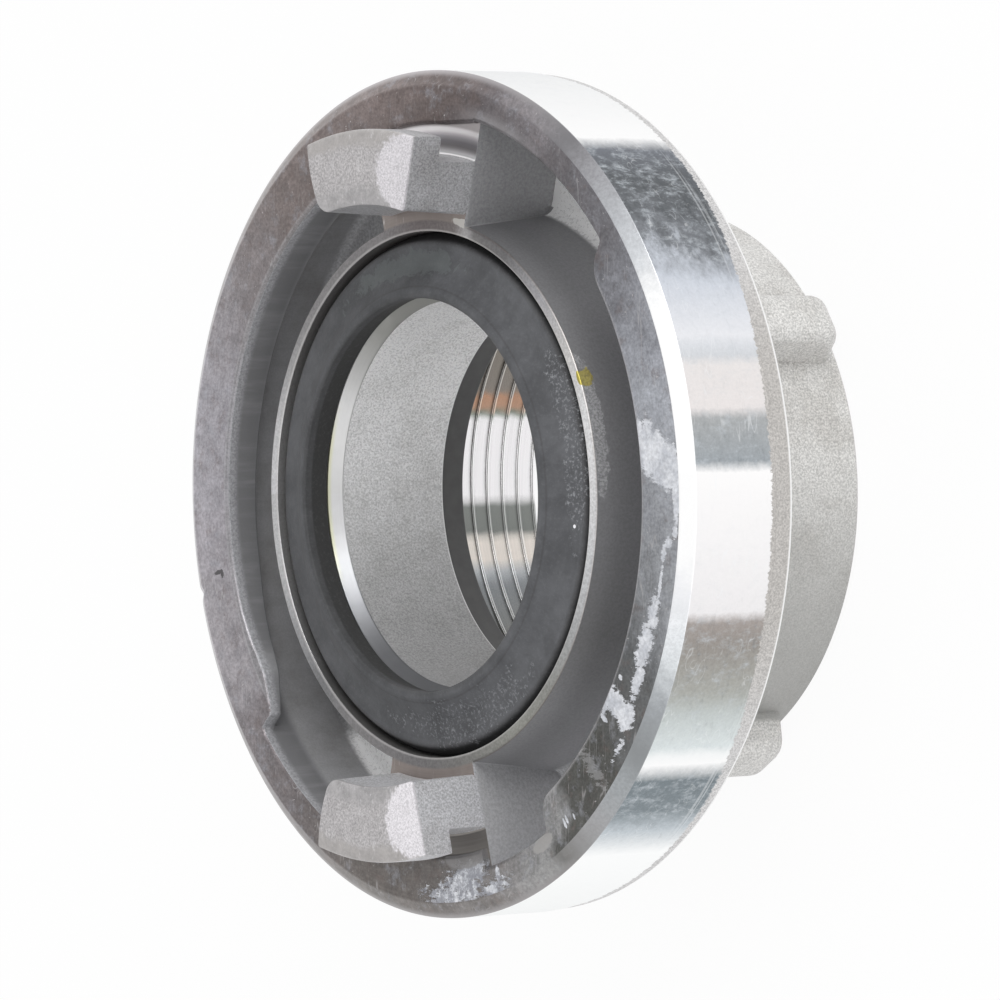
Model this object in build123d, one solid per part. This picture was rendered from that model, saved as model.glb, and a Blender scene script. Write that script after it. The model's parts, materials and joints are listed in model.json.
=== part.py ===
from build123d import *
from math import cos, radians, sin
import os

# Quarter turn fire hose coupling, fixed half, with a female pipe thread.
# The axis is Z. The part stands on its threaded end, with the lugs up.
# The origin is the centre of the threaded end face. Sizes are millimetres.

os.makedirs("parts", exist_ok=True)

# Hooked face, from the distance between the lugs outwards to the rim
lug_distance = 66.0
lug_half_angle = 14.2
web_thickness = 6.2
hook_reach = 2.9
flange_running_gap = 1.05
nose_running_gap = 1.8
rim_wall = 5.1

# Hooked face, from the lugs inwards to the waterway
seat_setback = 1.3
seat_wall = 1.3
seal_body_width = 5.8
nozzle_wall = 2.1

# Rim ring
rim_edge_height = 37.25
rim_bevel_width = 1.7
rim_bevel_height = 1.0
ring_depth = 13.85
turned_depth = 11.3
cast_step = 0.2
back_edge_chamfer = 0.4
back_slope_drop = 2.4

# Channel that the mating lugs turn in
channel_depth = 12.8
channel_floor_chamfer = 0.9
channel_corner_chamfer = 1.0
seat_wall_draft = 1.6
seat_drop = 0.5

# Flange that the mating lugs hook behind
flange_entry_thickness = 4.0
flange_ramp_rise = 1.2
flange_end_angle = 39.5
flange_start_angle = -58.0
flange_corner_fillet = 1.2

# Lugs
hook_gap = 5.25
base_drop = 0.85
nose_thickness = 4.1
nose_crown = 0.25
nose_outer_chamfer = 0.5
groove_chamfer = 0.3
lug_inner_draft = 0.4
lead_facet_angle = 3.5
lead_facet_reach = 6.0

# Waterway and the pocket of the seal
bore_chamfer = 1.0
bore_chamfer_height = 1.5
nozzle_drop = 2.5
seal_pocket_depth = 7.5
seal_foot_height = 3.4
seal_foot_extra = 0.6

# Pipe thread, drawn as a plain bore at its crests, and the collar round it
thread_major_radius = 29.81
thread_depth = 1.48
thread_entry_extra = 0.5
thread_length = 15.5
thread_relief_extra = 0.3
collar_wall = 3.1
collar_draft = 0.7
collar_edge_chamfer = 0.7
collar_root_chamfer = 1.8
back_shoulder = 5.6

# Spanner ribs on the collar
rib_count = 4
rib_first_angle = 32.0
rib_height = 5.3
rib_width = 6.0
rib_side_draft = 6.0
rib_rear_gap = 2.3
rib_rear_round = 3.2
rib_edge_round = 1.4

# Rubber seal and thread gasket
seal_clearance = 0.1
seal_lip_rise = 1.5
seal_lip_overhang = 0.2
seal_throat_extra = 0.7
seal_front_drop = 0.25
seal_edge_chamfer = 0.6
seal_face_hollow = 0.25
gasket_thickness = 3.4
gasket_inner_extra = 0.5
gasket_clearance = 0.15

# Working value: how far a cutter or a joined piece runs past a face
overlap = 1.0

# Radii that follow from the sizes above
lug_inner_radius = lug_distance / 2
web_outer_radius = lug_inner_radius + web_thickness
nose_outer_radius = web_outer_radius + hook_reach
flange_inner_radius = web_outer_radius + flange_running_gap
channel_outer_radius = nose_outer_radius + nose_running_gap
rim_radius = channel_outer_radius + rim_wall
cast_radius = rim_radius - cast_step
seat_outer_radius = lug_inner_radius - seat_setback
seat_inner_radius = seat_outer_radius - seat_wall
nozzle_radius = seat_inner_radius - seal_body_width
bore_radius = nozzle_radius - nozzle_wall
foot_radius = seat_inner_radius + seal_foot_extra
thread_minor_radius = thread_major_radius - thread_depth
relief_radius = thread_major_radius + thread_relief_extra
collar_radius = thread_major_radius + collar_wall
rib_outer_radius = collar_radius + rib_height
nose_mid_radius = (lug_inner_radius + nose_outer_radius) / 2

# Heights that follow from the sizes above
face_z = rim_edge_height + rim_bevel_height
back_z = rim_edge_height - ring_depth
back_slope_z = back_z - back_slope_drop
turned_end_z = rim_edge_height - turned_depth
floor_z = face_z - channel_depth
seat_z = face_z - seat_drop
pocket_z = seat_z - seal_pocket_depth
foot_top_z = pocket_z + seal_foot_height
nozzle_z = seat_z - nozzle_drop
gasket_seat_z = thread_length + gasket_thickness
base_z = face_z - base_drop
hook_z = base_z + hook_gap
nose_z = hook_z + nose_thickness


def polar(radius, angle, height=0.0):
    """A point at a radius and an angle round the axis."""
    return Vector(radius * cos(radians(angle)), radius * sin(radians(angle)), height)


def turned(points):
    """A closed half section, given as (radius, height) points, turned round the axis."""
    section = make_face(Polyline([(r, 0, z) for r, z in points], close=True))
    return revolve(section, axis=Axis.Z)


def ring_and_collar():
    """The turned body: rim ring, back, collar, waterway, seal seat and channel."""
    entry_radius = thread_major_radius + thread_entry_extra
    seat_foot_radius = seat_outer_radius + seat_wall_draft
    collar_root_radius = collar_radius + collar_draft
    section = [
        (entry_radius, 0),
        (thread_minor_radius, entry_radius - thread_minor_radius),
        (thread_minor_radius, thread_length),
        (relief_radius, thread_length),
        (relief_radius, gasket_seat_z),
        (bore_radius, gasket_seat_z),
        (bore_radius, nozzle_z - bore_chamfer_height),
        (bore_radius + bore_chamfer, nozzle_z),
        (nozzle_radius, nozzle_z),
        (nozzle_radius, pocket_z),
        (foot_radius, pocket_z),
        (foot_radius, foot_top_z),
        (seat_inner_radius, foot_top_z),
        (seat_inner_radius, seat_z),
        (seat_outer_radius, seat_z),
        (seat_foot_radius, floor_z + channel_floor_chamfer),
        (seat_foot_radius + channel_floor_chamfer, floor_z),
        (channel_outer_radius - channel_corner_chamfer, floor_z),
        (channel_outer_radius, floor_z + channel_corner_chamfer),
        (channel_outer_radius, face_z),
        (rim_radius - rim_bevel_width, face_z),
        (rim_radius, rim_edge_height),
        (rim_radius, turned_end_z),
        (cast_radius, turned_end_z - cast_step),
        (cast_radius, back_z + back_edge_chamfer),
        (cast_radius - back_edge_chamfer, back_z),
        (collar_root_radius + back_shoulder, back_slope_z),
        (collar_root_radius + collar_root_chamfer, back_slope_z),
        (collar_root_radius, back_slope_z - collar_root_chamfer),
        (collar_radius, collar_edge_chamfer),
        (collar_radius - collar_edge_chamfer, 0),
    ]
    return turned(section)


def flange():
    """One flange arc. Its underside is a helical ramp that draws the halves together."""
    span = flange_end_angle - flange_start_angle
    root_radius = channel_outer_radius + overlap
    low_z = face_z - flange_entry_thickness - flange_ramp_rise
    outer = CenterArc((0, 0), root_radius, flange_start_angle, span)
    inner = CenterArc((0, 0), flange_inner_radius, flange_start_angle, span)
    sides = [Line(inner @ end, outer @ end) for end in (0, 1)]
    plan = make_face(Wire([outer.edge(), sides[1].edge(), inner.edge(), sides[0].edge()]))
    inner_corners = plan.vertices().sort_by(lambda v: Vector(v.X, v.Y, 0).length)[:2]
    plan = fillet(inner_corners, flange_corner_fillet)
    arc = extrude(Pos(0, 0, low_z) * plan, face_z - low_z)
    wedge_span = span + 2 * overlap
    wedge_start = flange_start_angle - overlap
    wedge_end = wedge_start + wedge_span
    wedge_radius = root_radius + overlap
    wedge_plan = make_face(
        [
            Line((0, 0), polar(wedge_radius, wedge_start)),
            CenterArc((0, 0), wedge_radius, wedge_start, wedge_span),
            Line(polar(wedge_radius, wedge_end), (0, 0)),
        ]
    )
    wedge = Solid.extrude_linear_with_rotation(
        Pos(0, 0, low_z) * wedge_plan.face(),
        center=(0, 0, low_z),
        normal=(0, 0, flange_ramp_rise),
        angle=wedge_span,
    )
    return arc - wedge


def lug_block():
    """One hooked lug, centred on the X axis: foot in the channel, web, and overhanging nose."""
    foot_inner = seat_outer_radius - seat_wall / 2
    foot_outer = channel_outer_radius + overlap
    foot_z = floor_z - overlap
    tip_radius = lug_inner_radius + lug_inner_draft
    front_radius = nose_outer_radius - nose_outer_chamfer
    lines = Polyline(
        (tip_radius, 0, nose_z),
        (lug_inner_radius, 0, seat_z),
        (foot_inner, 0, seat_z),
        (foot_inner, 0, foot_z),
        (foot_outer, 0, foot_z),
        (foot_outer, 0, base_z),
        (web_outer_radius + groove_chamfer, 0, base_z),
        (web_outer_radius, 0, base_z + groove_chamfer),
        (web_outer_radius, 0, hook_z - groove_chamfer),
        (web_outer_radius + groove_chamfer, 0, hook_z),
        (nose_outer_radius, 0, hook_z),
        (nose_outer_radius, 0, nose_z - nose_outer_chamfer),
        (front_radius, 0, nose_z),
    )
    crown = ThreePointArc(
        (front_radius, 0, nose_z),
        (nose_mid_radius, 0, nose_z + nose_crown),
        (tip_radius, 0, nose_z),
    )
    section = make_face([*lines.edges(), crown.edge()])
    block = revolve(section, axis=Axis.Z, revolution_arc=2 * lug_half_angle)
    return Rot(0, 0, -lug_half_angle) * block


def lug(side):
    """A lug with the slanted facet on one side of its nose."""
    half_width = nose_mid_radius * sin(radians(lug_half_angle))
    facet_start = side * (half_width - lead_facet_reach)
    facet_plane = Pos(nose_mid_radius, facet_start, nose_z + nose_crown) * Rot(-side * lead_facet_angle, 0, 0)
    cutter_size = nose_outer_radius
    cutter_centre = Pos(0, side * cutter_size / 2, cutter_size / 2)
    return lug_block() - facet_plane * cutter_centre * Box(cutter_size, cutter_size, cutter_size)


def rib():
    """One spanner rib along the collar, on the X axis, with a rounded top and rear end."""
    root_radius = thread_major_radius + collar_wall / 4
    front_z = back_slope_z + overlap
    length = front_z - rib_rear_gap
    spread = (rib_outer_radius - root_radius) * sin(radians(rib_side_draft))
    across = make_face(
        Polyline(
            (root_radius, -rib_width / 2 - spread),
            (rib_outer_radius, -rib_width / 2),
            (rib_outer_radius, rib_width / 2),
            (root_radius, rib_width / 2 + spread),
            close=True,
        )
    )
    top_corners = across.vertices().sort_by(Axis.X)[-2:]
    across = fillet(top_corners, rib_edge_round)
    bar = extrude(Pos(0, 0, rib_rear_gap) * across, length)
    along = make_face(
        Polyline(
            (root_radius, 0, rib_rear_gap),
            (rib_outer_radius, 0, rib_rear_gap),
            (rib_outer_radius, 0, front_z),
            (root_radius, 0, front_z),
            close=True,
        )
    )
    rear_corner = along.vertices().sort_by(lambda v: v.Z - v.X)[:1]
    along = fillet(rear_corner, rib_rear_round)
    return bar & extrude(along, rib_width, both=True)


def coupling_body():
    """The casting: turned body, two flange arcs, two lugs and the spanner ribs."""
    body = ring_and_collar()
    for turn in (0, 180):
        body = body + Rot(0, 0, turn) * flange()
    body = body + Rot(0, 0, 90) * lug(-1)
    body = body + Rot(0, 0, 270) * lug(1)
    for index in range(rib_count):
        body = body + Rot(0, 0, rib_first_angle + index * 360 / rib_count) * rib()
    return body


def seal_ring():
    """The rubber lip seal: a foot under the seat ring, a sloping face and a raised inner lip."""
    lip_radius = bore_radius + seal_lip_overhang
    lip_z = face_z + seal_lip_rise
    front_z = seat_z - seal_front_drop
    outer = seat_inner_radius - seal_clearance
    shelf_z = nozzle_z + seal_clearance
    foot_top = foot_top_z - seal_clearance
    inner = nozzle_radius + seal_clearance
    face_outer = outer - seal_edge_chamfer
    lip_top = lip_radius + seal_edge_chamfer
    return turned(
        [
            (lip_radius, lip_z - seal_edge_chamfer),
            (lip_radius + seal_throat_extra, shelf_z),
            (inner, shelf_z),
            (inner, pocket_z),
            (foot_radius - seal_clearance, pocket_z),
            (foot_radius - seal_clearance, foot_top),
            (outer, foot_top),
            (outer, front_z - seal_edge_chamfer),
            (face_outer, front_z),
            ((face_outer + lip_top) / 2, (front_z + lip_z) / 2 - seal_face_hollow),
            (lip_top, lip_z),
        ]
    )


def thread_gasket():
    """The flat rubber washer at the root of the thread."""
    inner = bore_radius + gasket_inner_extra
    outer = relief_radius - gasket_clearance
    return turned(
        [
            (inner, thread_length),
            (outer, thread_length),
            (outer, gasket_seat_z),
            (inner, gasket_seat_z),
        ]
    )


pieces = {
    "coupling_body": coupling_body(),
    "seal_ring": seal_ring(),
    "thread_gasket": thread_gasket(),
}

for name, piece in pieces.items():
    export_step(piece, f"parts/{name}.step")
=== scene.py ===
# %% [markdown]
# # Quarter turn fire hose coupling
# The real object is one aluminium casting with a turned rim, a rubber lip seal in its face and a
# flat rubber washer behind its pipe thread. The frame gives the solids at their real size. Here the
# casting gets a finer mesh with a true helical thread, and every surface gets its own finish.

import json
import math

import bmesh
import bpy
import numpy as np
from mathutils import Matrix, Vector


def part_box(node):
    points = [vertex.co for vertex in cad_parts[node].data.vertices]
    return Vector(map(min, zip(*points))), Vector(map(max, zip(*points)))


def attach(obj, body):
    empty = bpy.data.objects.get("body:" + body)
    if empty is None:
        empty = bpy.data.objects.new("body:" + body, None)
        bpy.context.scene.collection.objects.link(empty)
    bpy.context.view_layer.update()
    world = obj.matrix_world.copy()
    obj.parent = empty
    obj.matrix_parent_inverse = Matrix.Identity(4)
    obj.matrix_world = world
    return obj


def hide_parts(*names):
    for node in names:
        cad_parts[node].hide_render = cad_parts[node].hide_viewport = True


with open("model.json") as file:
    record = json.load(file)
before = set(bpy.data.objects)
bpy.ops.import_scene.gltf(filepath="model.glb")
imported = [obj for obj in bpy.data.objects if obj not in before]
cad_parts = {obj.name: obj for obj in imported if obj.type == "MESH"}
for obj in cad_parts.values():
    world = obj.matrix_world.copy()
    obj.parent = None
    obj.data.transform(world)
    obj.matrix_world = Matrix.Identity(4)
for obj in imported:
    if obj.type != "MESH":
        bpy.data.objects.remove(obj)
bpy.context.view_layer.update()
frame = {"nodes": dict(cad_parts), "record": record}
MM = 0.001
mounts = {m["name"]: m for m in frame["record"]["mounts"]}
print("CAD nodes:", sorted(frame["nodes"]))

# %% [markdown]
# ## Sizes
# The rim radius, the face height and the bore and thread radii are read from the frame, so the looks
# stay on the solids. The other sizes are the real ones, in millimetres, measured from the rim.

# %% Sizes in millimetres
rim_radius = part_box("coupling_body")[1].x / MM
face_z = mounts["coupling_face"]["pos_m"][2] / MM
bore_radius = mounts["waterway"]["dims"]["r_mm"]
crest_radius = mounts["pipe_thread"]["dims"]["r_mm"]

rim_edge_z = face_z - 1.0
turned_end_z = rim_edge_z - 11.3
back_z = rim_edge_z - 13.85
back_slope_z = back_z - 2.4
cast_radius = rim_radius - 0.2
bevel_radius = rim_radius - 1.7
channel_radius = rim_radius - 5.1
flange_radius = channel_radius - 3.65
web_radius = flange_radius - 1.05
lug_inner_radius = web_radius - 6.2
seat_outer_radius = lug_inner_radius - 1.3
seat_inner_radius = seat_outer_radius - 1.3
nozzle_radius = bore_radius + 2.1
collar_radius = crest_radius + 4.58
seat_z = face_z - 0.5
floor_z = face_z - 12.8
pocket_z = seat_z - 7.5
undercut = 0.6
undercut_high = 3.4
nozzle_z = seat_z - 2.5
thread_depth = 1.48
thread_length = 15.5
gasket_top_z = thread_length + 3.4
lug_angles = (90.0, 270.0)
lug_half_angle = 14.2
print("rim", rim_radius, "face", face_z, "bore", bore_radius, "thread crest", crest_radius)

# %% [markdown]
# ## A section with rounded corners
# Every turned or cast form here starts as a section of (radius, height) corners. Real edges are never
# sharp, so each corner has a small arc. The arc always has the same number of points, so sections
# that change round the axis can still be joined point to point.

# %% Rounded sections
ARC_STEPS = 4


def rounded(corners, closed=True):
    """Points of a section given as (radius, height, rounding) corners."""
    points = []
    count = len(corners)
    for index, (r, z, rounding) in enumerate(corners):
        here = np.array([r, z])
        if rounding == 0 or (not closed and index in (0, count - 1)):
            points.append(here)
            continue
        before = np.array(corners[index - 1][:2]) - here
        after = np.array(corners[(index + 1) % count][:2]) - here
        reach_before = np.linalg.norm(before)
        reach_after = np.linalg.norm(after)
        if min(reach_before, reach_after) < 1e-6:
            points.extend([here] * (ARC_STEPS + 1))
            continue
        before = before / reach_before
        after = after / reach_after
        half = math.acos(max(-1.0, min(1.0, before @ after))) / 2
        if half > math.radians(89.5):
            points.extend([here] * (ARC_STEPS + 1))
            continue
        tangent = min(rounding / math.tan(half), 0.45 * reach_before, 0.45 * reach_after)
        radius = tangent * math.tan(half)
        middle = before + after
        centre = here + middle / np.linalg.norm(middle) * radius / math.sin(half)
        first = here + before * tangent - centre
        last = here + after * tangent - centre
        turn = math.atan2(first[0] * last[1] - first[1] * last[0], first @ last)
        x, y = first
        for a in np.linspace(0, turn, ARC_STEPS + 1):
            cos, sin = math.cos(a), math.sin(a)
            points.append(centre + np.array((x * cos - y * sin, x * sin + y * cos)))
    return np.array(points)


def new_object(name, mesh):
    """An object at the origin that shows a mesh."""
    made = bpy.data.objects.new(name, mesh)
    bpy.context.scene.collection.objects.link(made)
    return made


def solid_from(name, columns, angles, full_turn=True):
    """A closed solid from sections in millimetres, set round the axis at angles in degrees."""
    height = len(columns[0])
    turns = np.radians(angles)
    places = []
    for section, turn in zip(columns, turns):
        r, z = section[:, 0], section[:, 1]
        places.append(np.stack([r * np.cos(turn), r * np.sin(turn), z], 1) * MM)
    places = np.concatenate(places)
    faces = []
    last = len(columns) if full_turn else len(columns) - 1
    for c in range(last):
        here, there = c * height, ((c + 1) % len(columns)) * height
        for p in range(height):
            q = (p + 1) % height
            faces.append((here + p, there + p, there + q, here + q))
    if not full_turn:
        faces.append(tuple(range(height)))
        faces.append(tuple(reversed(range(last * height, (last + 1) * height))))
    mesh = bpy.data.meshes.new(name)
    mesh.from_pydata(places.tolist(), [], faces)
    work = bmesh.new()
    work.from_mesh(mesh)
    bmesh.ops.remove_doubles(work, verts=work.verts, dist=2e-6)
    bmesh.ops.dissolve_degenerate(work, edges=work.edges, dist=1e-6)
    bmesh.ops.recalc_face_normals(work, faces=work.faces)
    work.to_mesh(mesh)
    work.free()
    return new_object(name, mesh)


# %% [markdown]
# ## The flange outline
# Seen from the front, the inner edge of the rim steps between two radii: the flange that the mating
# hooks grip, and the pockets that let them in. The outline is a list of angles and radii with a
# rounded corner at each end of a flange arc. One end was cast badly and is wavy, so it has points of
# its own. Behind each lug the edge lies further out, because the hook gap was cut into it.

# %% Flange outline
flange_arcs = ((-59.2, 39.5), (119.0, 219.5))
flange_corners = ((2.2, 3.2), (1.0, 1.2))
flange_root = 0.9
wall_draft = 0.2
CORNER_POINTS = np.radians(np.linspace(0, 90, 7))
wavy_end_angles = (200.0, 206.4, 209.0, 212.0, 213.5, 215.7, 217.6, 218.6, 219.5, 220.3)
wavy_end_steps = (0.0, -0.35, -0.6, -0.65, -0.5, 0.0, 0.5, 0.75, 0.45, 0.0)
hook_gaps = ((76.2, 103.9), (256.2, 283.8))
gap_step_angles = ((76.3, 80.6, 84.4), (270.0,))
gap_step_radii = ((43.7, 43.1, 42.75), (41.7,))
nick_angle = 194.5


def flange_outline():
    """Angles and inner radii of the rim's edge, once round."""
    root = math.degrees(flange_root / channel_radius)
    places = []
    for walls, corners in zip(flange_arcs, flange_corners):
        for way, wall, corner in zip((-1, 1), walls, corners):
            span = math.degrees(corner / flange_radius)
            reach = min(corner, channel_radius - flange_root - flange_radius)
            for t in CORNER_POINTS:
                outer_angle = wall + way * (wall_draft + root * (1 - math.sin(t)))
                places.append((outer_angle, channel_radius - flange_root * (1 - math.cos(t))))
                inner_angle = wall - way * span * (1 - math.cos(t))
                places.append((inner_angle, flange_radius + reach * (1 - math.sin(t))))
    places.sort()
    return np.array(places)


def column_angles(outline):
    """The angles of the casting's sections: one a degree, and closer where the form needs it."""
    found = set(np.arange(-60.0, 300.0, 1.0)) | set(outline[:, 0])
    found |= set(np.arange(nick_angle - 2.0, nick_angle + 2.0, 0.25))
    found |= set(np.arange(203.0, 221.0, 0.5))
    found |= {end + way * 0.08 for gap in hook_gaps for end in gap for way in (-1, 1)}
    found = np.array(sorted(found))
    return found[np.concatenate([[True], np.diff(found) > 0.02])]


outline = flange_outline()
angles = column_angles(outline)
flange_edge = np.interp(angles, outline[:, 0], outline[:, 1], period=360)
flange_edge += np.interp(angles, wavy_end_angles, wavy_end_steps, left=0, right=0)
for (start, end), step_angles, step_radii in zip(hook_gaps, gap_step_angles, gap_step_radii):
    behind_lug = (angles > start) & (angles < end)
    flange_edge[behind_lug] = np.interp(angles[behind_lug], step_angles, step_radii)
print("columns round the axis:", len(angles))

# %% [markdown]
# ## The turned casting
# A lathe can't cut pockets, but a lofted section can change with the angle. So the casting is one
# closed loft: the same numbered corners at each angle, with the flange corners sliding outwards to
# the channel wall where a pocket is. The flange's underside climbs along each arc, which is the ramp
# that pulls two halves together.

# %% Casting section
flange_thick = 4.0
flange_rise = 1.2
lead_in_share = 0.28
lead_in_rise = 2.2
nick_depth = 0.45
nick_half_angle = 0.7


def underside_z(angle):
    """Height of the flange's underside at an angle, with a lift at the end of the arc."""
    for start, end in flange_arcs:
        if start - 1 <= angle <= end + 1 or start - 1 <= angle - 360 <= end + 1:
            along = (angle - start) / (end - start)
            past = max(0.0, (along - (1 - lead_in_share)) / lead_in_share)
            return face_z - flange_thick - flange_rise * (1 - along) + lead_in_rise * past**1.5
    return face_z - flange_thick


def casting_corners(angle, edge_radius):
    """Corners of the casting's section at an angle."""
    nick = nick_depth * math.exp(-((angle - nick_angle) / nick_half_angle) ** 2)
    under_z = underside_z(angle)
    root_radius = crest_radius + thread_depth
    washer_radius = root_radius + 0.3
    undercut_radius = seat_inner_radius + undercut
    return [
        (root_radius + 0.5, 0.0, 0.1),
        (root_radius, 0.5, 0),
        (root_radius, thread_length, 0),
        (washer_radius, thread_length, 0),
        (washer_radius, gasket_top_z, 0.1),
        (bore_radius, gasket_top_z, 0.25),
        (bore_radius, nozzle_z - 1.5, 0.3),
        (bore_radius + 1.0, nozzle_z, 0.15),
        (nozzle_radius, nozzle_z, 0.15),
        (nozzle_radius, pocket_z, 0),
        (undercut_radius, pocket_z, 0),
        (undercut_radius, pocket_z + undercut_high, 0),
        (seat_inner_radius, pocket_z + undercut_high, 0.1),
        (seat_inner_radius, seat_z, 0.2),
        (seat_outer_radius, seat_z, 0.25),
        (seat_outer_radius + 1.6, floor_z, 1.6),
        (channel_radius, floor_z, 1.2),
        (channel_radius, under_z, 0.8),
        (edge_radius, under_z, 0.35),
        (edge_radius, face_z, 0.5),
        (bevel_radius - nick, face_z, 0.5),
        (rim_radius - nick, rim_edge_z, 0.12),
        (rim_radius, turned_end_z, 0.05),
        (cast_radius, turned_end_z - 0.2, 0.05),
        (cast_radius, back_z, 0.4),
        (collar_radius + 6.3, back_slope_z, 1.0),
        (collar_radius + 0.7, back_slope_z, 3.0),
        (collar_radius, 0.7, 0.2),
        (collar_radius - 0.7, 0.0, 0.2),
    ]


sections = [rounded(casting_corners(a, r)) for a, r in zip(angles, flange_edge)]
casting = solid_from("coupling_casting", sections, angles)
print("casting faces:", len(casting.data.polygons))

# %% [markdown]
# ## The hooked lugs
# A lug is a block cast with the body and turned with it, so its faces are parts of cylinders round
# the same axis. Its section is swung through the lug's angle. The corner between its inner face and
# its plain end is well rounded, so the sections near the ends are set further out. A slanted plane
# takes off the small facet beside its leading edge, and a narrow bevel gives the edges the soft line
# that blasting leaves.

# %% Lug section
gap_floor_z = face_z - 0.85
hook_z = gap_floor_z + 5.25
nose_z = hook_z + 4.1
nose_outer_radius = web_radius + 2.9
nose_crown = 0.25


def lug_corners(inset):
    """Corners of a lug's section with its crowned nose. The inset moves the inner face out."""
    inner = lug_inner_radius + 0.4 + inset
    middle = (inner + nose_outer_radius) / 2
    half = (nose_outer_radius - inner) / 2
    foot_inner, foot_outer, foot_z = seat_outer_radius - 0.65, channel_radius + 1.0, floor_z - 1.0
    corners = [
        (inner, nose_z, 0.25),
        (lug_inner_radius + inset, seat_z, 0),
        (foot_inner, seat_z, 0),
        (foot_inner, foot_z, 0),
        (foot_outer, foot_z, 0),
        (foot_outer, gap_floor_z, 0),
        (web_radius, gap_floor_z, 0.4),
        (web_radius, hook_z, 0.4),
        (nose_outer_radius, hook_z, 0.25),
        (nose_outer_radius, nose_z, 0.6),
    ]
    # The crown: points from the outer side of the nose to the inner one.
    for share in np.arange(0.75, -1.0, -0.25):
        corners.append((middle + half * share, nose_z + nose_crown * (1 - share**2), 0))
    return corners


# %% Cutting and joining
# Every join and cut is a boolean that is applied at once, so that the casting stays a plain mesh.

def cut_with(target, cutter, operation):
    """Joins a cutter to the target, or takes it away, and removes the cutter."""
    change = target.modifiers.new(operation, "BOOLEAN")
    change.operation = operation
    change.solver = "MANIFOLD"
    change.object = cutter
    settle(target)
    bpy.data.objects.remove(cutter)


def settle(target):
    """Applies all modifiers of an object to its mesh."""
    graph = bpy.context.evaluated_depsgraph_get()
    made = bpy.data.meshes.new_from_object(target.evaluated_get(graph))
    target.modifiers.clear()
    target.data = made


def slab(name, matrix, size):
    """A box to cut with, from a corner of its floor at the matrix's origin."""
    work = bmesh.new()
    bmesh.ops.create_cube(work, size=1.0)
    for v in work.verts:
        v.co = matrix @ Vector((v.co.x * size, (v.co.y + 0.5) * size, (v.co.z + 0.5) * size))
    mesh = bpy.data.meshes.new(name)
    bmesh.ops.recalc_face_normals(work, faces=work.faces)
    work.to_mesh(mesh)
    work.free()
    return new_object(name, mesh)


# %% Lugs
lug_edge = 0.3
plain_end_rounding = 2.1
facet_end_rounding = 0.5
facet_reach = 6.0
facet_slope = 2.7
lug_columns = 33
end_distances = np.array([0, 0.12, 0.35, 0.7, 1.1, 1.6, 2.2])


def plain_side(angle):
    """Which way round a lug's plain end is. Its other end, with the facet, is towards +X."""
    return 1 if math.sin(math.radians(angle)) > 0 else -1


def lug_block(angle):
    """The lug before its facet is cut, with its inner corners rounded at both ends."""
    columns = []
    near_end = lug_half_angle - np.degrees(end_distances / lug_inner_radius)
    even = np.linspace(-lug_half_angle, lug_half_angle, lug_columns)
    turns = np.unique(np.concatenate([even, near_end, -near_end]).round(4))
    for turn in turns:
        plain = turn * plain_side(angle) > 0
        corner = plain_end_rounding if plain else facet_end_rounding
        to_end = math.radians(lug_half_angle - abs(turn)) * lug_inner_radius
        short = max(0.0, corner - to_end)
        columns.append(rounded(lug_corners(corner - math.sqrt(corner**2 - short**2))))
    return solid_from("lug", columns, turns + angle, full_turn=False)


def lug(angle):
    """One lug at an angle. Its facet is on the side of +X."""
    side = -plain_side(angle)
    block = lug_block(angle)
    mid = (lug_inner_radius + nose_outer_radius) / 2
    start = mid * math.sin(math.radians(lug_half_angle)) - facet_reach
    place = Matrix.Rotation(math.radians(angle), 4, "Z")
    place = place @ Matrix.Translation(Vector((mid, side * start, nose_z + nose_crown)) * MM)
    if side < 0:
        place = place @ Matrix.Rotation(math.pi, 4, "Z")
    place = place @ Matrix.Rotation(math.radians(-facet_slope), 4, "X")
    cut_with(block, slab("facet_cutter", place, 30 * MM), "DIFFERENCE")
    edges = block.modifiers.new("edges", "BEVEL")
    edges.width = lug_edge * MM
    edges.segments = 3
    edges.limit_method = "ANGLE"
    edges.angle_limit = math.radians(40)
    settle(block)
    return block


for angle in lug_angles:
    cut_with(casting, lug(angle), "UNION")
print("with lugs:", len(casting.data.polygons))

# %% [markdown]
# ## The spanner ribs
# Four equal ribs run along the collar. One rib is modelled as a rounded bar, and Geometry Nodes set
# the copies round the axis, because a count and a first angle say all that there is to their places.

# %% One rib
rib_count = 4
rib_first_angle = 32.0
rib_outer_radius = collar_radius + 5.3
rib_width = 6.0
rib_flare = 0.7
rib_rear_z = 2.3
rib_rear_rounding = 3.2
rib_side_rounding = 1.6


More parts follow.
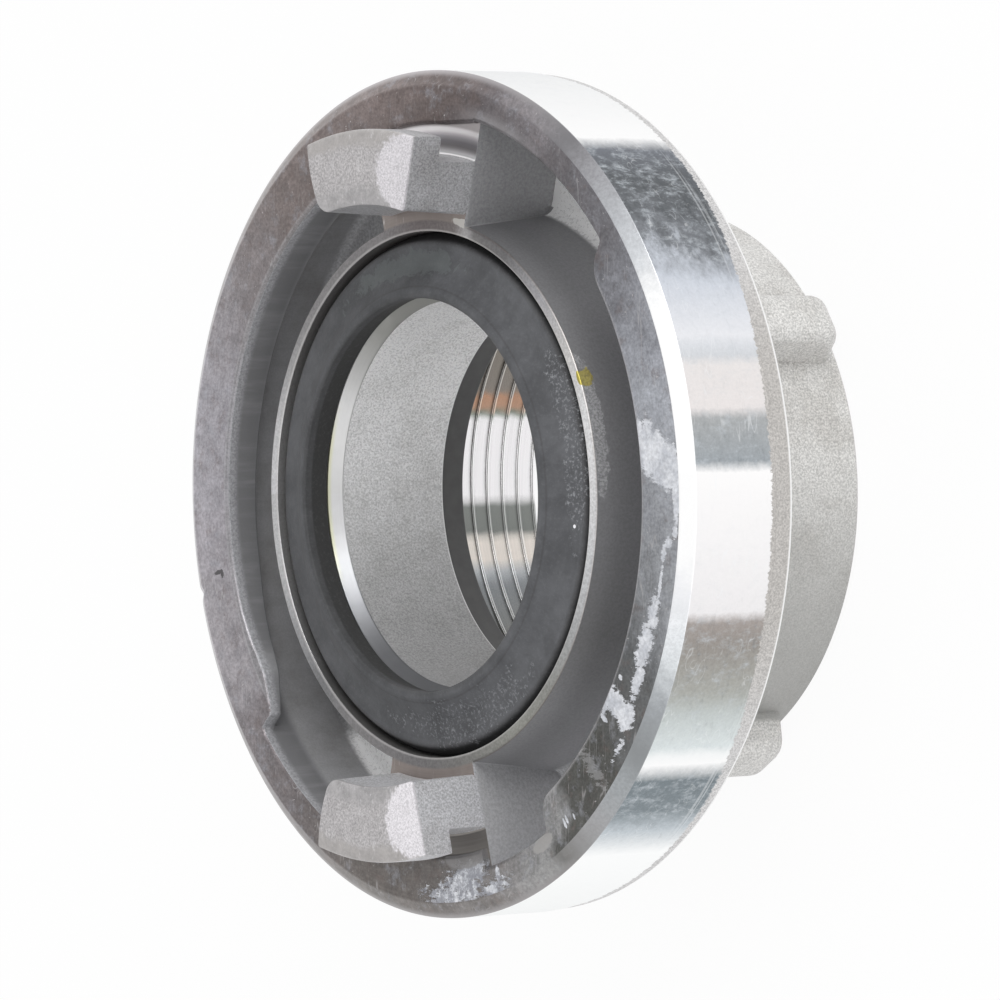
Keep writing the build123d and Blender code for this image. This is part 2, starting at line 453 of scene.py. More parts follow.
def rib_mesh():
    """One rib on the X axis, with a rounded back and a rounded rear end."""
    root_radius = crest_radius + 2.3
    front = back_slope_z + 1.0
    half = rib_width / 2
    across = [
        (root_radius, -half - rib_flare),
        (rib_outer_radius, -half),
        (rib_outer_radius, half),
        (root_radius, half + rib_flare),
    ]
    work = bmesh.new()
    rear = [work.verts.new(Vector((x, y, rib_rear_z)) * MM) for x, y in across]
    fore = [work.verts.new(Vector((x, y, front)) * MM) for x, y in across]
    work.faces.new(rear)
    work.faces.new(fore)
    for i in range(4):
        j = (i + 1) % 4
        work.faces.new((rear[i], rear[j], fore[j], fore[i]))
    bmesh.ops.recalc_face_normals(work, faces=work.faces)

    rear_edge = [e for e in work.edges if set(e.verts) == set(rear[1:3])]
    size = rib_rear_rounding * MM
    bmesh.ops.bevel(work, geom=rear_edge, offset=size, segments=8, profile=0.5, affect="EDGES")
    side_edges = []
    for e in work.edges:
        middle = (e.verts[0].co + e.verts[1].co) / 2 / MM
        along = abs(e.verts[0].co.y - e.verts[1].co.y) < 0.1 * MM
        if along and middle.x > root_radius + 1.5 and middle.z < front - 0.1:
            side_edges.append(e)
    size = rib_side_rounding * MM
    bmesh.ops.bevel(work, geom=side_edges, offset=size, segments=5, profile=0.5, affect="EDGES")
    mesh = bpy.data.meshes.new("rib")
    work.to_mesh(mesh)
    work.free()
    return mesh


# %% Node helpers
def wire(tree, value, slot):
    """Links a socket, or sets a number, a colour or a vector."""
    if isinstance(value, bpy.types.NodeSocket):
        tree.links.new(value, slot)
    elif slot.type == "RGBA":
        slot.default_value = (*value, 1.0)
    else:
        slot.default_value = value


def node(tree, kind, values=(), **settings):
    """Adds a node with its settings and its input values by name or number."""
    made = tree.nodes.new(kind)
    for name, setting in settings.items():
        setattr(made, name, setting)
    for key, value in dict(values).items():
        wire(tree, value, made.inputs[key])
    return made


def calc(tree, operation, *values, clamp=False):
    """A Math node."""
    values = dict(enumerate(values))
    return node(tree, "ShaderNodeMath", values, operation=operation, use_clamp=clamp).outputs[0]


def new_tree(name, inputs):
    """A Geometry Nodes tree with a geometry, the named inputs and a finish."""
    tree = bpy.data.node_groups.new(name, "GeometryNodeTree")
    for way in ("INPUT", "OUTPUT"):
        tree.interface.new_socket("Geometry", in_out=way, socket_type="NodeSocketGeometry")
    for label, kind in (*inputs.items(), ("Finish", "Material")):
        tree.interface.new_socket(label, in_out="INPUT", socket_type="NodeSocket" + kind)
    return tree, tree.nodes.new("NodeGroupInput").outputs


def end_tree(tree, geometry, finish):
    """Makes copies real, gives them the finish and hands them out."""
    real = node(tree, "GeometryNodeRealizeInstances", {0: geometry}).outputs[0]
    dressed = node(tree, "GeometryNodeSetMaterial", {"Geometry": real, "Material": finish})
    node(tree, "NodeGroupOutput", {0: dressed.outputs[0]})


def run_tree(target, tree, values):
    """Gives an object the tree with its input values, and keeps the result as a plain mesh."""
    change = target.modifiers.new(tree.name, "NODES")
    change.node_group = tree
    for item in tree.interface.items_tree:
        if item.in_out == "INPUT" and item.name in values:
            change[item.identifier] = values[item.name]
    settle(target)


# %% Ribs round the collar
def rib_tree():
    """Copies the input rib round the Z axis."""
    tree, given = new_tree("ribs_round_collar", {"Count": "Int", "First Angle": "Float"})
    spots = node(tree, "GeometryNodePoints", {"Count": given["Count"]}).outputs[0]
    index = node(tree, "GeometryNodeInputIndex").outputs[0]
    step = calc(tree, "DIVIDE", 2 * math.pi, given["Count"])
    turn = calc(tree, "ADD", calc(tree, "MULTIPLY", index, step), given["First Angle"])
    about_z = node(tree, "ShaderNodeCombineXYZ", {"Z": turn}).outputs[0]
    values = {"Points": spots, "Instance": given["Geometry"], "Rotation": about_z}
    copies = node(tree, "GeometryNodeInstanceOnPoints", values).outputs[0]
    end_tree(tree, copies, given["Finish"])
    return tree


cast_metal = bpy.data.materials.new("cast_metal")
ribs = new_object("ribs", rib_mesh())
rib_values = {
    "Count": rib_count,
    "First Angle": math.radians(rib_first_angle),
    "Finish": cast_metal,
}
run_tree(ribs, rib_tree(), rib_values)
cut_with(casting, ribs, "UNION")
print("with ribs:", len(casting.data.polygons))

# %% [markdown]
# ## The pipe thread
# A thread is one profile carried along a helix. Geometry Nodes do exactly that: a Spiral curve with
# equal radii is the helix, and Curve to Mesh carries the 55 degree profile along it. The ridge is
# then joined to the plain wall at the thread's roots. Its two ends shrink into the wall, as the tap
# leaves them.

# %% Thread ridge
pitch = 25.4 / 11
crest_rounding = 0.137 * pitch
flank = math.radians(27.5)
thread_start = -0.3
thread_end = thread_length - 0.4
ridge_buried = 0.2
turn_steps = 120


def thread_profile():
    """The ridge's outline: (along the axis, out from the wall), base buried in the wall."""
    crest = []
    for a in np.linspace(flank - math.pi / 2, math.pi / 2 - flank, 6):
        out = thread_depth - crest_rounding * (1 - math.cos(a))
        crest.append((crest_rounding * math.sin(a), out))
    foot = crest[-1][0] + crest[-1][1] * math.tan(flank)
    base = foot + 0.1
    return [(-base, -ridge_buried), (-foot, 0.0), *crest, (foot, 0.0), (base, -ridge_buried)]


def thread_tree():
    """Carries the input outline along a helix whose radius shrinks the outline at both ends."""
    inputs = dict.fromkeys(("Turns", "Radius", "Pitch", "Start Height"), "Float")
    tree, given = new_tree("pipe_thread_ridge", inputs)
    turns, radius = given["Turns"], given["Radius"]
    values = {
        "Resolution": turn_steps,
        "Rotations": turns,
        "Start Radius": radius,
        "End Radius": radius,
        "Height": calc(tree, "MULTIPLY", turns, given["Pitch"]),
    }
    helix = node(tree, "GeometryNodeCurveSpiral", values).outputs[0]
    up = node(tree, "ShaderNodeCombineXYZ", {"Z": given["Start Height"]}).outputs[0]
    lift = node(tree, "GeometryNodeSetPosition", {"Geometry": helix, "Offset": up}).outputs[0]
    upright = node(tree, "GeometryNodeSetCurveNormal", {"Curve": lift}, mode="Z_UP").outputs[0]
    along = node(tree, "GeometryNodeSplineParameter").outputs["Factor"]
    from_start = calc(tree, "MULTIPLY", along, turns)
    near = calc(tree, "MINIMUM", from_start, calc(tree, "SUBTRACT", turns, from_start))
    full = calc(tree, "MINIMUM", calc(tree, "MULTIPLY_ADD", near, 3.0, 0.5), 1.0)
    outline_curve = node(tree, "GeometryNodeMeshToCurve", {"Mesh": given["Geometry"]}).outputs[0]
    values = {
        "Curve": upright,
        "Profile Curve": outline_curve,
        "Scale": full,
        "Fill Caps": True,
    }
    carried = node(tree, "GeometryNodeCurveToMesh", values).outputs[0]
    end_tree(tree, carried, given["Finish"])
    return tree


def thread_ridge():
    """The helical ridge inside the collar."""
    outline_mesh = bpy.data.meshes.new("thread_outline")
    points = [Vector((out, along, 0)) * MM for along, out in thread_profile()]
    sides = [(i, (i + 1) % len(points)) for i in range(len(points))]
    outline_mesh.from_pydata(points, sides, [])
    ridge = new_object("thread_ridge", outline_mesh)
    values = {
        "Turns": (thread_end - thread_start) / pitch,
        "Radius": (crest_radius + thread_depth) * MM,
        "Pitch": pitch * MM,
        "Start Height": thread_start * MM,
        "Finish": cast_metal,
    }
    run_tree(ridge, thread_tree(), values)
    return ridge


ridge = thread_ridge()
ridge_corners = (ridge.bound_box[0], ridge.bound_box[6])
print("ridge box:", [tuple(round(c / MM, 2) for c in corner) for corner in ridge_corners])

# %% [markdown]
# ## Join the thread to the wall
# The ridge's base lies inside the wall, so a plain union leaves only the thread standing out.
# Afterwards the finished casting is shaded smooth, with its true edges kept sharp.

# %% Thread union and shading
cut_with(casting, ridge, "UNION")
below_size = 300
below = Matrix.Translation(Vector((0, -below_size / 2, -below_size)) * MM)
cut_with(casting, slab("below_end_face", below, below_size * MM), "DIFFERENCE")


def shade(target, crease_degrees):
    """Smooth faces with sharp edges above an angle, and normals that follow the large faces."""
    target.data.shade_smooth()
    target.data.set_sharp_from_angle(angle=math.radians(crease_degrees))
    weigh = target.modifiers.new("normals", "WEIGHTED_NORMAL")
    weigh.keep_sharp = True
    settle(target)


shade(casting, 32)
print("casting triangles:", sum(len(p.vertices) - 2 for p in casting.data.polygons))

# %% [markdown]
# ## The rubber parts
# Both rubber parts are turned shapes. The seal's face slopes up from its shoulder at the seat ring to
# the lip that curls over the bore's edge. The washer behind the thread is a flat ring with worn
# edges. Rubber needs no close fit, so both have a little room in the casting.

# %% Seal and gasket
ring_angles = np.arange(0, 360, 1.5)


def turned_ring(name, corners, replaced):
    """A rubber ring from a section, in place of a CAD node."""
    section = rounded(corners)
    made = solid_from(name, [section] * len(ring_angles), ring_angles)
    shade(made, 50)
    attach(made, "root")
    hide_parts(replaced)
    return made


seal_gap = 0.1
seal_inner = nozzle_radius + seal_gap
seal_outer = seat_inner_radius - seal_gap
seal_front = seat_z - 0.35
lip_radius = bore_radius + 0.2
lip_top = seat_z + 1.5
seal_corners = [
    (seal_inner, pocket_z + seal_gap, 0.3),
    (seal_outer + undercut, pocket_z + seal_gap, 0.3),
    (seal_outer + undercut, pocket_z + undercut_high - seal_gap, 0.3),
    (seal_outer, pocket_z + undercut_high, 0.2),
    (seal_outer, seal_front - 1.6, 0.2),
    (seal_outer - 1.0, seal_front, 0.6),
    (28.4, seal_front, 2.0),
    (26.2, seal_front + 0.35, 2.5),
    (lip_radius + 1.0, lip_top - 0.1, 0.8),
    (lip_radius, lip_top, 0.3),
    (lip_radius, lip_top - 1.2, 0.2),
    (lip_radius + 0.5, nozzle_z + 0.3, 0.1),
    (seal_inner, nozzle_z + 0.1, 0.3),
]
seal = turned_ring("lip_seal", seal_corners, "seal_ring")
gasket_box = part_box("thread_gasket")
gasket_inner, gasket_outer = bore_radius + 0.5, gasket_box[1].x / MM
gasket_back = gasket_box[1].z / MM
gasket_corners = [
    (gasket_inner, thread_length, 0.3),
    (gasket_outer, thread_length, 0.2),
    (gasket_outer, gasket_back, 0.2),
    (gasket_inner, gasket_back, 0.3),
]
gasket = turned_ring("thread_washer", gasket_corners, "thread_gasket")


# %% [markdown]
# ## How the finishes are written
# All finishes are procedural and live on Object coordinates, in millimetres. Most marks on a turned
# part follow its axis, so one small node group gives every material the radius, the angle and the
# height of a point. A second group gives a patch: an ellipse in angle and radius, or in angle and
# height, with a ragged edge. Colours are written as they show on a screen, from 0 to 255.

# %% Colours and soft steps
def tone(red, green, blue):
    """A colour from 0 to 255 as shader values."""
    shares = (c / 255 for c in (red, green, blue))
    return tuple(((s + 0.055) / 1.055) ** 2.4 if s > 0.04 else s / 12.92 for s in shares)


def rise(tree, value, low, high, first=0.0, last=1.0):
    """A smooth change of a value from first to last between two limits."""
    limits = {0: value, 1: low, 2: high, 3: first, 4: last}
    return node(tree, "ShaderNodeMapRange", limits, interpolation_type="SMOOTHSTEP").outputs[0]


# %% Node groups for place and patch
def shader_group(name, inputs, outputs):
    """A node group with the named inputs and outputs, and the nodes that hold them."""
    tree = bpy.data.node_groups.new(name, "ShaderNodeTree")
    for way, labels in (("INPUT", inputs), ("OUTPUT", outputs)):
        for label in labels:
            kind = "NodeSocketVector" if label == "Place" else "NodeSocketFloat"
            tree.interface.new_socket(label, in_out=way, socket_type=kind)
    return tree, tree.nodes.new("NodeGroupInput").outputs, tree.nodes.new("NodeGroupOutput").inputs


def length(tree, first, second):
    """The long side of a right-angled triangle."""
    squares = [calc(tree, "MULTIPLY", side, side) for side in (first, second)]
    return calc(tree, "SQRT", calc(tree, "ADD", *squares))


def place_group():
    """Radius, angle and height of a point, and its place in millimetres."""
    labels = ("Place", "Radius", "Angle", "Height")
    tree, _, results = shader_group("place_on_part", (), labels)
    source = node(tree, "ShaderNodeTexCoord").outputs["Object"]
    values = {0: source, 1: (1 / MM, 1 / MM, 1 / MM)}
    place = node(tree, "ShaderNodeVectorMath", values, operation="MULTIPLY").outputs[0]
    x, y, height = node(tree, "ShaderNodeSeparateXYZ", {0: place}).outputs
    angle = calc(tree, "DEGREES", calc(tree, "ARCTAN2", y, x))
    for value, slot in zip((place, length(tree, x, y), angle, height), results):
        wire(tree, value, slot)
    return tree


def patch_group():
    """1 inside an ellipse of angle and radius, 0 outside, with an edge that a noise moves."""
    labels = ("Angle", "Radius", "At Angle", "At Radius")
    labels += ("Half Span", "Half Width", "Raggedness", "Noise")
    tree, given, results = shader_group("polar_patch", labels, ("Patch",))
    turn = calc(tree, "SUBTRACT", given["Angle"], given["At Angle"])
    turn = calc(tree, "WRAP", turn, 180.0, -180.0)
    across = calc(tree, "DIVIDE", turn, given["Half Span"])
    off = calc(tree, "SUBTRACT", given["Radius"], given["At Radius"])
    away = length(tree, across, calc(tree, "DIVIDE", off, given["Half Width"]))
    moved = calc(tree, "MULTIPLY", calc(tree, "SUBTRACT", given["Noise"], 0.5), given["Raggedness"])
    wire(tree, rise(tree, calc(tree, "ADD", away, moved), 1.08, 0.92), results[0])
    return tree


shared_place = place_group()
shared_patch = patch_group()
print("node groups:", shared_place.name, shared_patch.name)


# %% The nodes of one finish
class Finish:
    """The nodes of one material, built from short calls."""

    def __init__(self, name, **surface):
        self.material = bpy.data.materials.new(name)
        self.material.use_nodes = True
        self.tree = self.material.node_tree
        self.surface = self.tree.nodes["Principled BSDF"]
        where = self.node("Group", node_tree=shared_place).outputs
        self.place, self.radius, self.angle, self.height = where
        self.set(**surface)

    def node(self, kind, values=(), **settings):
        """Adds a shader node."""
        return node(self.tree, "ShaderNode" + kind, values, **settings)

    def set(self, **values):
        """Sets the surface's inputs, such as Roughness."""
        for name, value in values.items():
            wire(self.tree, value, self.surface.inputs[name.replace("_", " ")])

    def calc(self, operation, *values, clamp=False):
        """A Math node."""
        return calc(self.tree, operation, *values, clamp=clamp)

    def times(self, first, second):
        """One value or mask times another."""
        return self.calc("MULTIPLY", first, second)

    def scaled(self, value, factor, offset):
        """A value times a factor, plus an offset."""
        return self.calc("MULTIPLY_ADD", value, factor, offset)

    def swing(self, noise, reach):
        """A noise turned into a movement of that reach to both sides."""
        return self.scaled(noise, 2 * reach, -reach)

    def rise(self, value, low, high, first=0.0, last=1.0):
        """A smooth change of a value from first to last between two limits."""
        return rise(self.tree, value, low, high, first, last)

    def inside(self, value, low, high, soft=0.3):
        """1 where a value is between two limits."""
        lower = self.rise(value, low - soft, low + soft)
        return self.times(lower, self.rise(value, high + soft, high - soft))

    def noise_at(self, mapping, detail, **values):
        """Noise over the place on the part, after a shift, a turn and a scale."""
        where = self.node("Mapping", {0: self.place, **mapping}).outputs[0]
        values = {"Vector": where, "Scale": 1.0, "Detail": detail, **values}
        return self.node("TexNoise", values).outputs[0]

    def noise(self, scale, detail=3.0, rough=0.55, stretch=(1, 1, 1), shift=0.0, twist=0.0, tilt=0.0):
        """Noise with so many cells per millimetre. Stretch scales the axes after a tilt about X."""
        moved = (shift, shift * 0.7, shift * 1.3)
        mapping = {1: moved, 2: (math.radians(tilt), 0, 0), 3: tuple(s * scale for s in stretch)}
        return self.noise_at(mapping, detail, Roughness=rough, Distortion=twist)

    def grain(self, scale, shift=0.0):
        """Fine grain from 0 to 1 with most of the contrast that noise alone lacks."""
        return self.rise(self.noise(scale, 2.0, 0.7, shift=shift), 0.28, 0.72)

    def lathe(self, fine, along=0.04, detail=2.0, shift=0.0):
        """Noise in thin rings round the axis, as a tool leaves them."""
        across = self.times(self.calc("ADD", self.radius, self.height), fine)
        slow = self.node("Mapping", {0: self.place, 3: (along, along, 0)}).outputs[0]
        lift = self.node("CombineXYZ", {0: shift, 2: across}).outputs[0]
        where = self.node("VectorMath", {0: slow, 1: lift}, operation="ADD").outputs[0]
        return self.node("TexNoise", {"Vector": where, "Scale": 1.0, "Detail": detail}).outputs[0]

    def scratches(self, scale, turn, shift, width=0.014, keep=0.55):
        """Thin long scratches in one direction: level lines of a stretched noise, here and there."""
        turned = (0, 0, math.radians(turn))
        drawn_out = (scale, scale * 0.06, scale)
        hills = self.noise_at({1: (shift, shift, 0), 2: turned, 3: drawn_out}, 0.0)
        line = self.rise(self.calc("ABSOLUTE", self.calc("SUBTRACT", hills, 0.5)), width, 0.0)
        kept = self.rise(self.noise(0.25, 3.0, shift=shift + 20), keep, keep + 0.08)
        return self.times(line, kept)

    def patch(self, angle, radius, span, width, ragged, noise, across=None):
        """A ragged patch at an angle in degrees and a radius, or a height, with its half sizes."""
        values = (self.angle, across or self.radius, angle, radius, span, width, ragged, noise)
        return self.node("Group", dict(enumerate(values)), node_tree=shared_patch).outputs[0]

    def most(self, *values):
        """The largest of several masks."""
        best = values[0]
        for value in values[1:]:
            best = self.calc("MAXIMUM", best, value)
        return best

    def mix(self, factor, first, second, blend="MIX"):
        """Mixes two colours, each a socket or a colour from 0 to 255."""
        first, second = (tone(*c) if isinstance(c, tuple) else c for c in (first, second))
        values = {0: factor, 6: first, 7: second}
        return self.node("Mix", values, data_type="RGBA", blend_type=blend).outputs[2]

    def shade(self, colour, value, low, high):
        """Makes a colour darker or lighter as a value goes from 0 to 1."""
        grey = self.scaled(value, high - low, low)
        grey = self.node("CombineColor", dict.fromkeys(range(3), grey)).outputs[0]
        return self.mix(1.0, colour, grey, "MULTIPLY")

    def ramp(self, value, stops):
        """Colours from 0 to 255 at places from 0 to 1."""
        made = self.node("ValToRGB", {0: value})
        band = made.color_ramp
        for index, (place, *colour) in enumerate(stops):
            stop = band.elements[index] if index < 2 else band.elements.new(place)
            stop.position = place
            stop.color = (*tone(*colour), 1.0)
        return made.outputs[0]

    def round_ramp(self, wobble, stops):
        """Colours at angles from -180 to 180 degrees, moved by a wobble in degrees."""
        turn = self.calc("WRAP", self.calc("ADD", self.angle, wobble), 180.0, -180.0)
        share = self.scaled(turn, 1 / 360, 0.5)
        return self.ramp(share, [(angle / 360 + 0.5, *colour) for angle, *colour in stops])

    def bump(self, height, depth, under=None):
        """Relief of a depth in millimetres, on top of another relief."""
        values = {"Height": height, "Distance": depth * MM, "Strength": 1.0}
        if under is not None:
            values["Normal"] = under
        return self.node("Bump", values).outputs[0]

    def tell(self):
        """Prints how many nodes the finish has."""
        print("finish", self.material.name, "with", len(self.tree.nodes), "nodes")


# %% [markdown]
# ## Blasted casting
# The casting was blasted with grit: small facets in all directions that sparkle where they catch the
# light. A fine noise serves both as the relief and as the change of tone, with a few larger pits.
# The same finish is used on the collar, the lugs, the channel and the bore, each with its own tone,
# because grit and dirt reach them differently. Each of them also carries some painted light and
# shade, noted where it is.

# %% Casting and collar finish
def cast_finish(name, base, dirt, grain=1.0, rough=0.5, metal=0.45):
    """Blasted aluminium, with a base colour and a dirt colour."""
    look = Finish(name, Metallic=metal)
    fine = look.noise(4.2, 2.0, 0.7)
    coarse = look.noise(1.3, 3.0, 0.6, shift=7.0)
    cloud = look.noise(0.13, 4.0, 0.65, shift=3.0)
    colour = look.mix(look.rise(cloud, 0.4, 0.7), base, dirt)
    colour = look.shade(colour, look.rise(fine, 0.25, 0.75), 1 - 0.36 * grain, 1 + 0.3 * grain)
    pits = look.rise(coarse, 0.62, 0.74)
    colour = look.mix(look.times(pits, 0.3), colour, dirt)
    relief = look.bump(coarse, 0.07 * grain, look.bump(fine, 0.05 * grain))
    look.set(Roughness=look.scaled(fine, 0.2, rough - 0.1), Normal=relief)
    return look, colour


collar, colour = cast_finish("blasted_collar", (212, 211, 209), (194, 192, 189), rough=0.48)
# Painted shade: the collar is painted darker on its side towards -Y, away from the key light.
around = collar.calc("COSINE", collar.calc("RADIANS", collar.calc("ADD", collar.angle, 62.0)))
shaded_side = collar.times(collar.rise(around, 0.2, 1.0), collar.rise(collar.radius, 34.4, 33.6))
collar.set(Base_Color=collar.mix(collar.times(shaded_side, 0.8), colour, (158, 158, 156)))
collar.tell()

# %% Channel finish
tones = (176, 176, 178), (158, 157, 157)
channel, colour = cast_finish("channel_casting", *tones, grain=0.3, rough=0.55, metal=0.25)
drag = channel.rise(channel.noise(0.5, 4.0, 0.65, stretch=(1, 1, 0.12)), 0.45, 0.75)
colour = channel.mix(channel.times(drag, 0.3), colour, (136, 135, 135))
wall = channel.rise(channel.radius, flange_radius - 1.0, flange_radius - 0.3)
wall = channel.times(wall, channel.rise(channel.height, face_z - 5.5, face_z - 4.0))
colour = channel.mix(wall, colour, channel.shade((136, 136, 138), drag, 0.85, 1.12))
# Painted light: on the side towards +X the seat ring's outer wall is painted lighter towards the
# channel floor.
right_tone = channel.round_ramp(0.0, [
    (-75, 140, 140, 142), (-50, 150, 150, 152), (-30, 126, 126, 127), (-10, 126, 126, 128),
    (5, 124, 124, 126), (25, 122, 122, 124), (42, 126, 126, 128), (75, 104, 104, 106),
])
right_side = channel.inside(channel.angle, -80.0, 78.0, 4.0)
right_side = channel.times(right_side, channel.rise(channel.radius, 37.0, 35.0))
up_the_wall = channel.rise(channel.height, floor_z + 2, seat_z - 3)
right_tone = channel.shade(right_tone, up_the_wall, 1.7, 1.0)
right_tone = channel.shade(right_tone, channel.grain(3.2, 8.0), 0.92, 1.1)
colour = channel.mix(right_side, colour, right_tone)
far_low = channel.inside(channel.angle, -82.0, -38.0, 8.0)
far_low = channel.times(far_low, channel.rise(channel.radius, 35.0, 37.0))
colour = channel.mix(far_low, colour, channel.shade((186, 186, 189), drag, 0.85, 1.0))
# The lip of the flange arcs is rough.
lip_band = channel.rise(channel.height, face_z - 1.9, face_z - 0.8)
at_lip = channel.rise(channel.radius, flange_radius - 1.2, flange_radius - 0.9)
lip_band = channel.times(lip_band, at_lip)
rough_lip = channel.shade((182, 182, 186), channel.grain(3.2, 6.0), 0.66, 1.3)
colour = channel.mix(channel.times(lip_band, 0.7), colour, rough_lip)
# %% Channel floor and marks
# Painted light: round the axis the channel floor is painted white in the stretches where light falls
# on it.
floor_tone = channel.round_ramp(0.0, [
    (-179, 146, 146, 147), (-150, 140, 140, 142), (-139.5, 144, 144, 145),
    (-136.5, 255, 255, 255), (-100, 255, 255, 255), (-60, 206, 206, 208),
    (30, 240, 240, 244), (60, 255, 255, 255), (78, 255, 255, 255), (100, 200, 200, 202),
    (150, 180, 180, 182), (170, 150, 150, 151),
])
floor_with_painted_light = channel.shade(floor_tone, channel.grain(2.8, 5.0), 0.8, 1.25)
deep = channel.rise(channel.height, floor_z + 1.5, floor_z + 0.6)
colour = channel.mix(deep, colour, floor_with_painted_light)
edge = channel.noise(0.8, 3.0, 0.6, shift=15.0)
# Painted highlight: a white streak on the rounding beside the root of the lug at 90 degrees, where it
# catches the light.
root = channel.patch(74.9, 35.0, 0.9, 2.4, 0.6, edge)
colour = channel.mix(channel.times(root, deep), colour, (255, 255, 255))
# The seat ring's outer corner is worn, and has a spot of paint.
worn = channel.times(channel.patch(14.0, seat_z - 0.9, 15.0, 1.0, 1.6, edge, channel.height), 0.55)
worn = channel.times(worn, channel.rise(channel.radius, 34.0, 33.0))
worn = channel.times(worn, channel.grain(3.6, 2.0))
colour = channel.mix(worn, colour, (200, 200, 202))
paint = channel.patch(24.7, seat_z - 0.9, 2.0, 1.0, 1.8, edge, channel.height)
paint = channel.times(paint, channel.rise(channel.radius, 33.6, 33.2))
ochre = channel.shade((158, 146, 70), channel.grain(3.0, 2.0), 0.7, 1.3)
channel.set(Base_Color=channel.mix(channel.times(paint, 0.85), colour, ochre))
channel.tell()

# %% [markdown]
# ## Lugs
# The lug's sides above the flange level are coarse and sparkle. Their feet in the channel are
# smoother and darker. The nose was touched by a grinding wheel beside its leading edge, which left
# a bright half-moon, and its front has a smooth outer band and streaks towards the inside.

# %% Lug finish
tones = (206, 206, 209), (188, 187, 189)
lugs, colour = cast_finish("blasted_lugs", *tones, grain=0.95, rough=0.48, metal=0.5)
# Painted shade: the lug at 90 degrees is painted darker than the one at 270 degrees, on its sides,
# its foot and its half-moon.
upper_lug = lugs.rise(lugs.angle, -5.0, 5.0)
colour = lugs.shade(colour, upper_lug, 1.05, 0.77)
foot = lugs.rise(lugs.height, face_z - 0.6, face_z - 1.1)
foot_tone = lugs.mix(upper_lug, (190, 190, 192), (160, 160, 162))
smooth = lugs.shade(foot_tone, lugs.grain(3.0, 2.0), 0.86, 1.12)
colour = lugs.mix(foot, colour, smooth)
# %% Lug nose
front = lugs.rise(lugs.height, nose_z - 0.45, nose_z - 0.15)
streak = lugs.rise(lugs.noise(0.5, 5.0, 0.7, twist=0.8, shift=9.0), 0.3, 0.7)
nose = lugs.mix(streak, (192, 189, 190), (178, 175, 176))
nose = lugs.shade(nose, lugs.grain(3.4, 1.0), 0.7, 1.28)
outer_band = lugs.rise(lugs.scaled(streak, 0.7, lugs.radius), 40.0, 41.2)
nose = lugs.mix(lugs.times(outer_band, 0.8), nose, lugs.shade((178, 174, 172), streak, 0.85, 1.12))
inner_band = lugs.rise(lugs.scaled(streak, 0.8, lugs.radius), 36.6, 35.0)
nose = lugs.mix(lugs.times(inner_band, 0.75), nose, lugs.shade((170, 168, 169), streak, 0.75, 1.25))
wear = lugs.rise(lugs.noise(0.9, 5.0, 0.75, stretch=(1.4, 0.7, 1), shift=14.0), 0.55, 0.7)
bright = lugs.shade((222, 220, 222), lugs.grain(3.4, 4.0), 0.8, 1.15)
nose = lugs.mix(lugs.times(wear, 0.6), nose, bright)
colour = lugs.mix(front, colour, nose)
moon_edge = lugs.noise(1.6, 3.0, 0.6, shift=6.0)
facet_ends = (lug_angles[0] - lug_half_angle, lug_angles[1] + lug_half_angle)
moons = lugs.most(*[lugs.patch(a, 37.6, 8.8, 4.7, 0.5, moon_edge) for a in facet_ends])
moon_tone = lugs.mix(upper_lug, (236, 233, 237), (222, 219, 223))
moon = lugs.shade(moon_tone, lugs.grain(4.2, 3.0), 0.76, 1.18)
lugs.set(Base_Color=lugs.mix(lugs.times(moons, front), colour, moon))
lugs.tell()

# %% Bore finish
bore, colour = cast_finish("blasted_bore", (216, 216, 217), (201, 201, 201), grain=0.85, rough=0.5)
# Painted light and shade: the bore is painted lighter towards +Y and darker towards -Y.
downward = bore.times(bore.radius, bore.calc("SINE", bore.calc("RADIANS", bore.angle)))
colour = bore.shade(colour, bore.rise(downward, -19.0, 17.0), 0.6, 1.45)
# Painted highlight: a bright line on the rounded rear edge of the bore.
rear_edge = bore.rise(bore.height, gasket_top_z + 0.35, gasket_top_z + 0.15)
bore.set(Base_Color=bore.mix(rear_edge, colour, (245, 245, 245)))
bore.tell()

# %% [markdown]
# ## Machined faces
# The seat ring, the ledge behind each lug, the hook gap and the waterway's mouth were cut on a lathe,
# so they carry fine rings. The ledges have gone brown; the hook gap carries bands of painted
# reflection; the mouth's tone is a painted reflection round the axis, like the seat ring's, and it
# has a greenish trace of grease on its outer edge.

# %% Machined finish
# The seat ring first. Its tone drifts round the axis, because its rings mirror the tent.
cut = Finish("machined_faces", Metallic=0.8)
rings = cut.lathe(7.0)
stain = cut.noise(0.5, 4.0, 0.65)
seat = cut.round_ramp(0.0, [
    (-165, 192, 192, 193), (-150, 162, 162, 164), (-135, 122, 122, 124),
    (-120, 132, 130, 131), (-95, 118, 116, 117), (-75, 132, 131, 128), (-58, 150, 150, 144),
    (-45, 147, 147, 143), (-30, 174, 175, 176), (-15, 208, 209, 211), (2, 228, 227, 228),
    (15, 229, 229, 230), (30, 210, 208, 206), (45, 172, 171, 174), (60, 114, 113, 114),
    (72, 122, 120, 120), (75, 176, 174, 174), (79, 124, 118, 117), (92, 112, 105, 105),
    (105, 131, 128, 129), (135, 136, 134, 135), (150, 160, 159, 160), (165, 196, 196, 197),
    (178, 205, 205, 207),
])
seat = cut.shade(seat, cut.grain(2.8), 0.84, 1.14)
worn_edge = cut.rise(cut.radius, seat_inner_radius + 0.35, seat_inner_radius + 0.15)
seat = cut.mix(cut.times(worn_edge, 0.35), seat, (218, 216, 214))
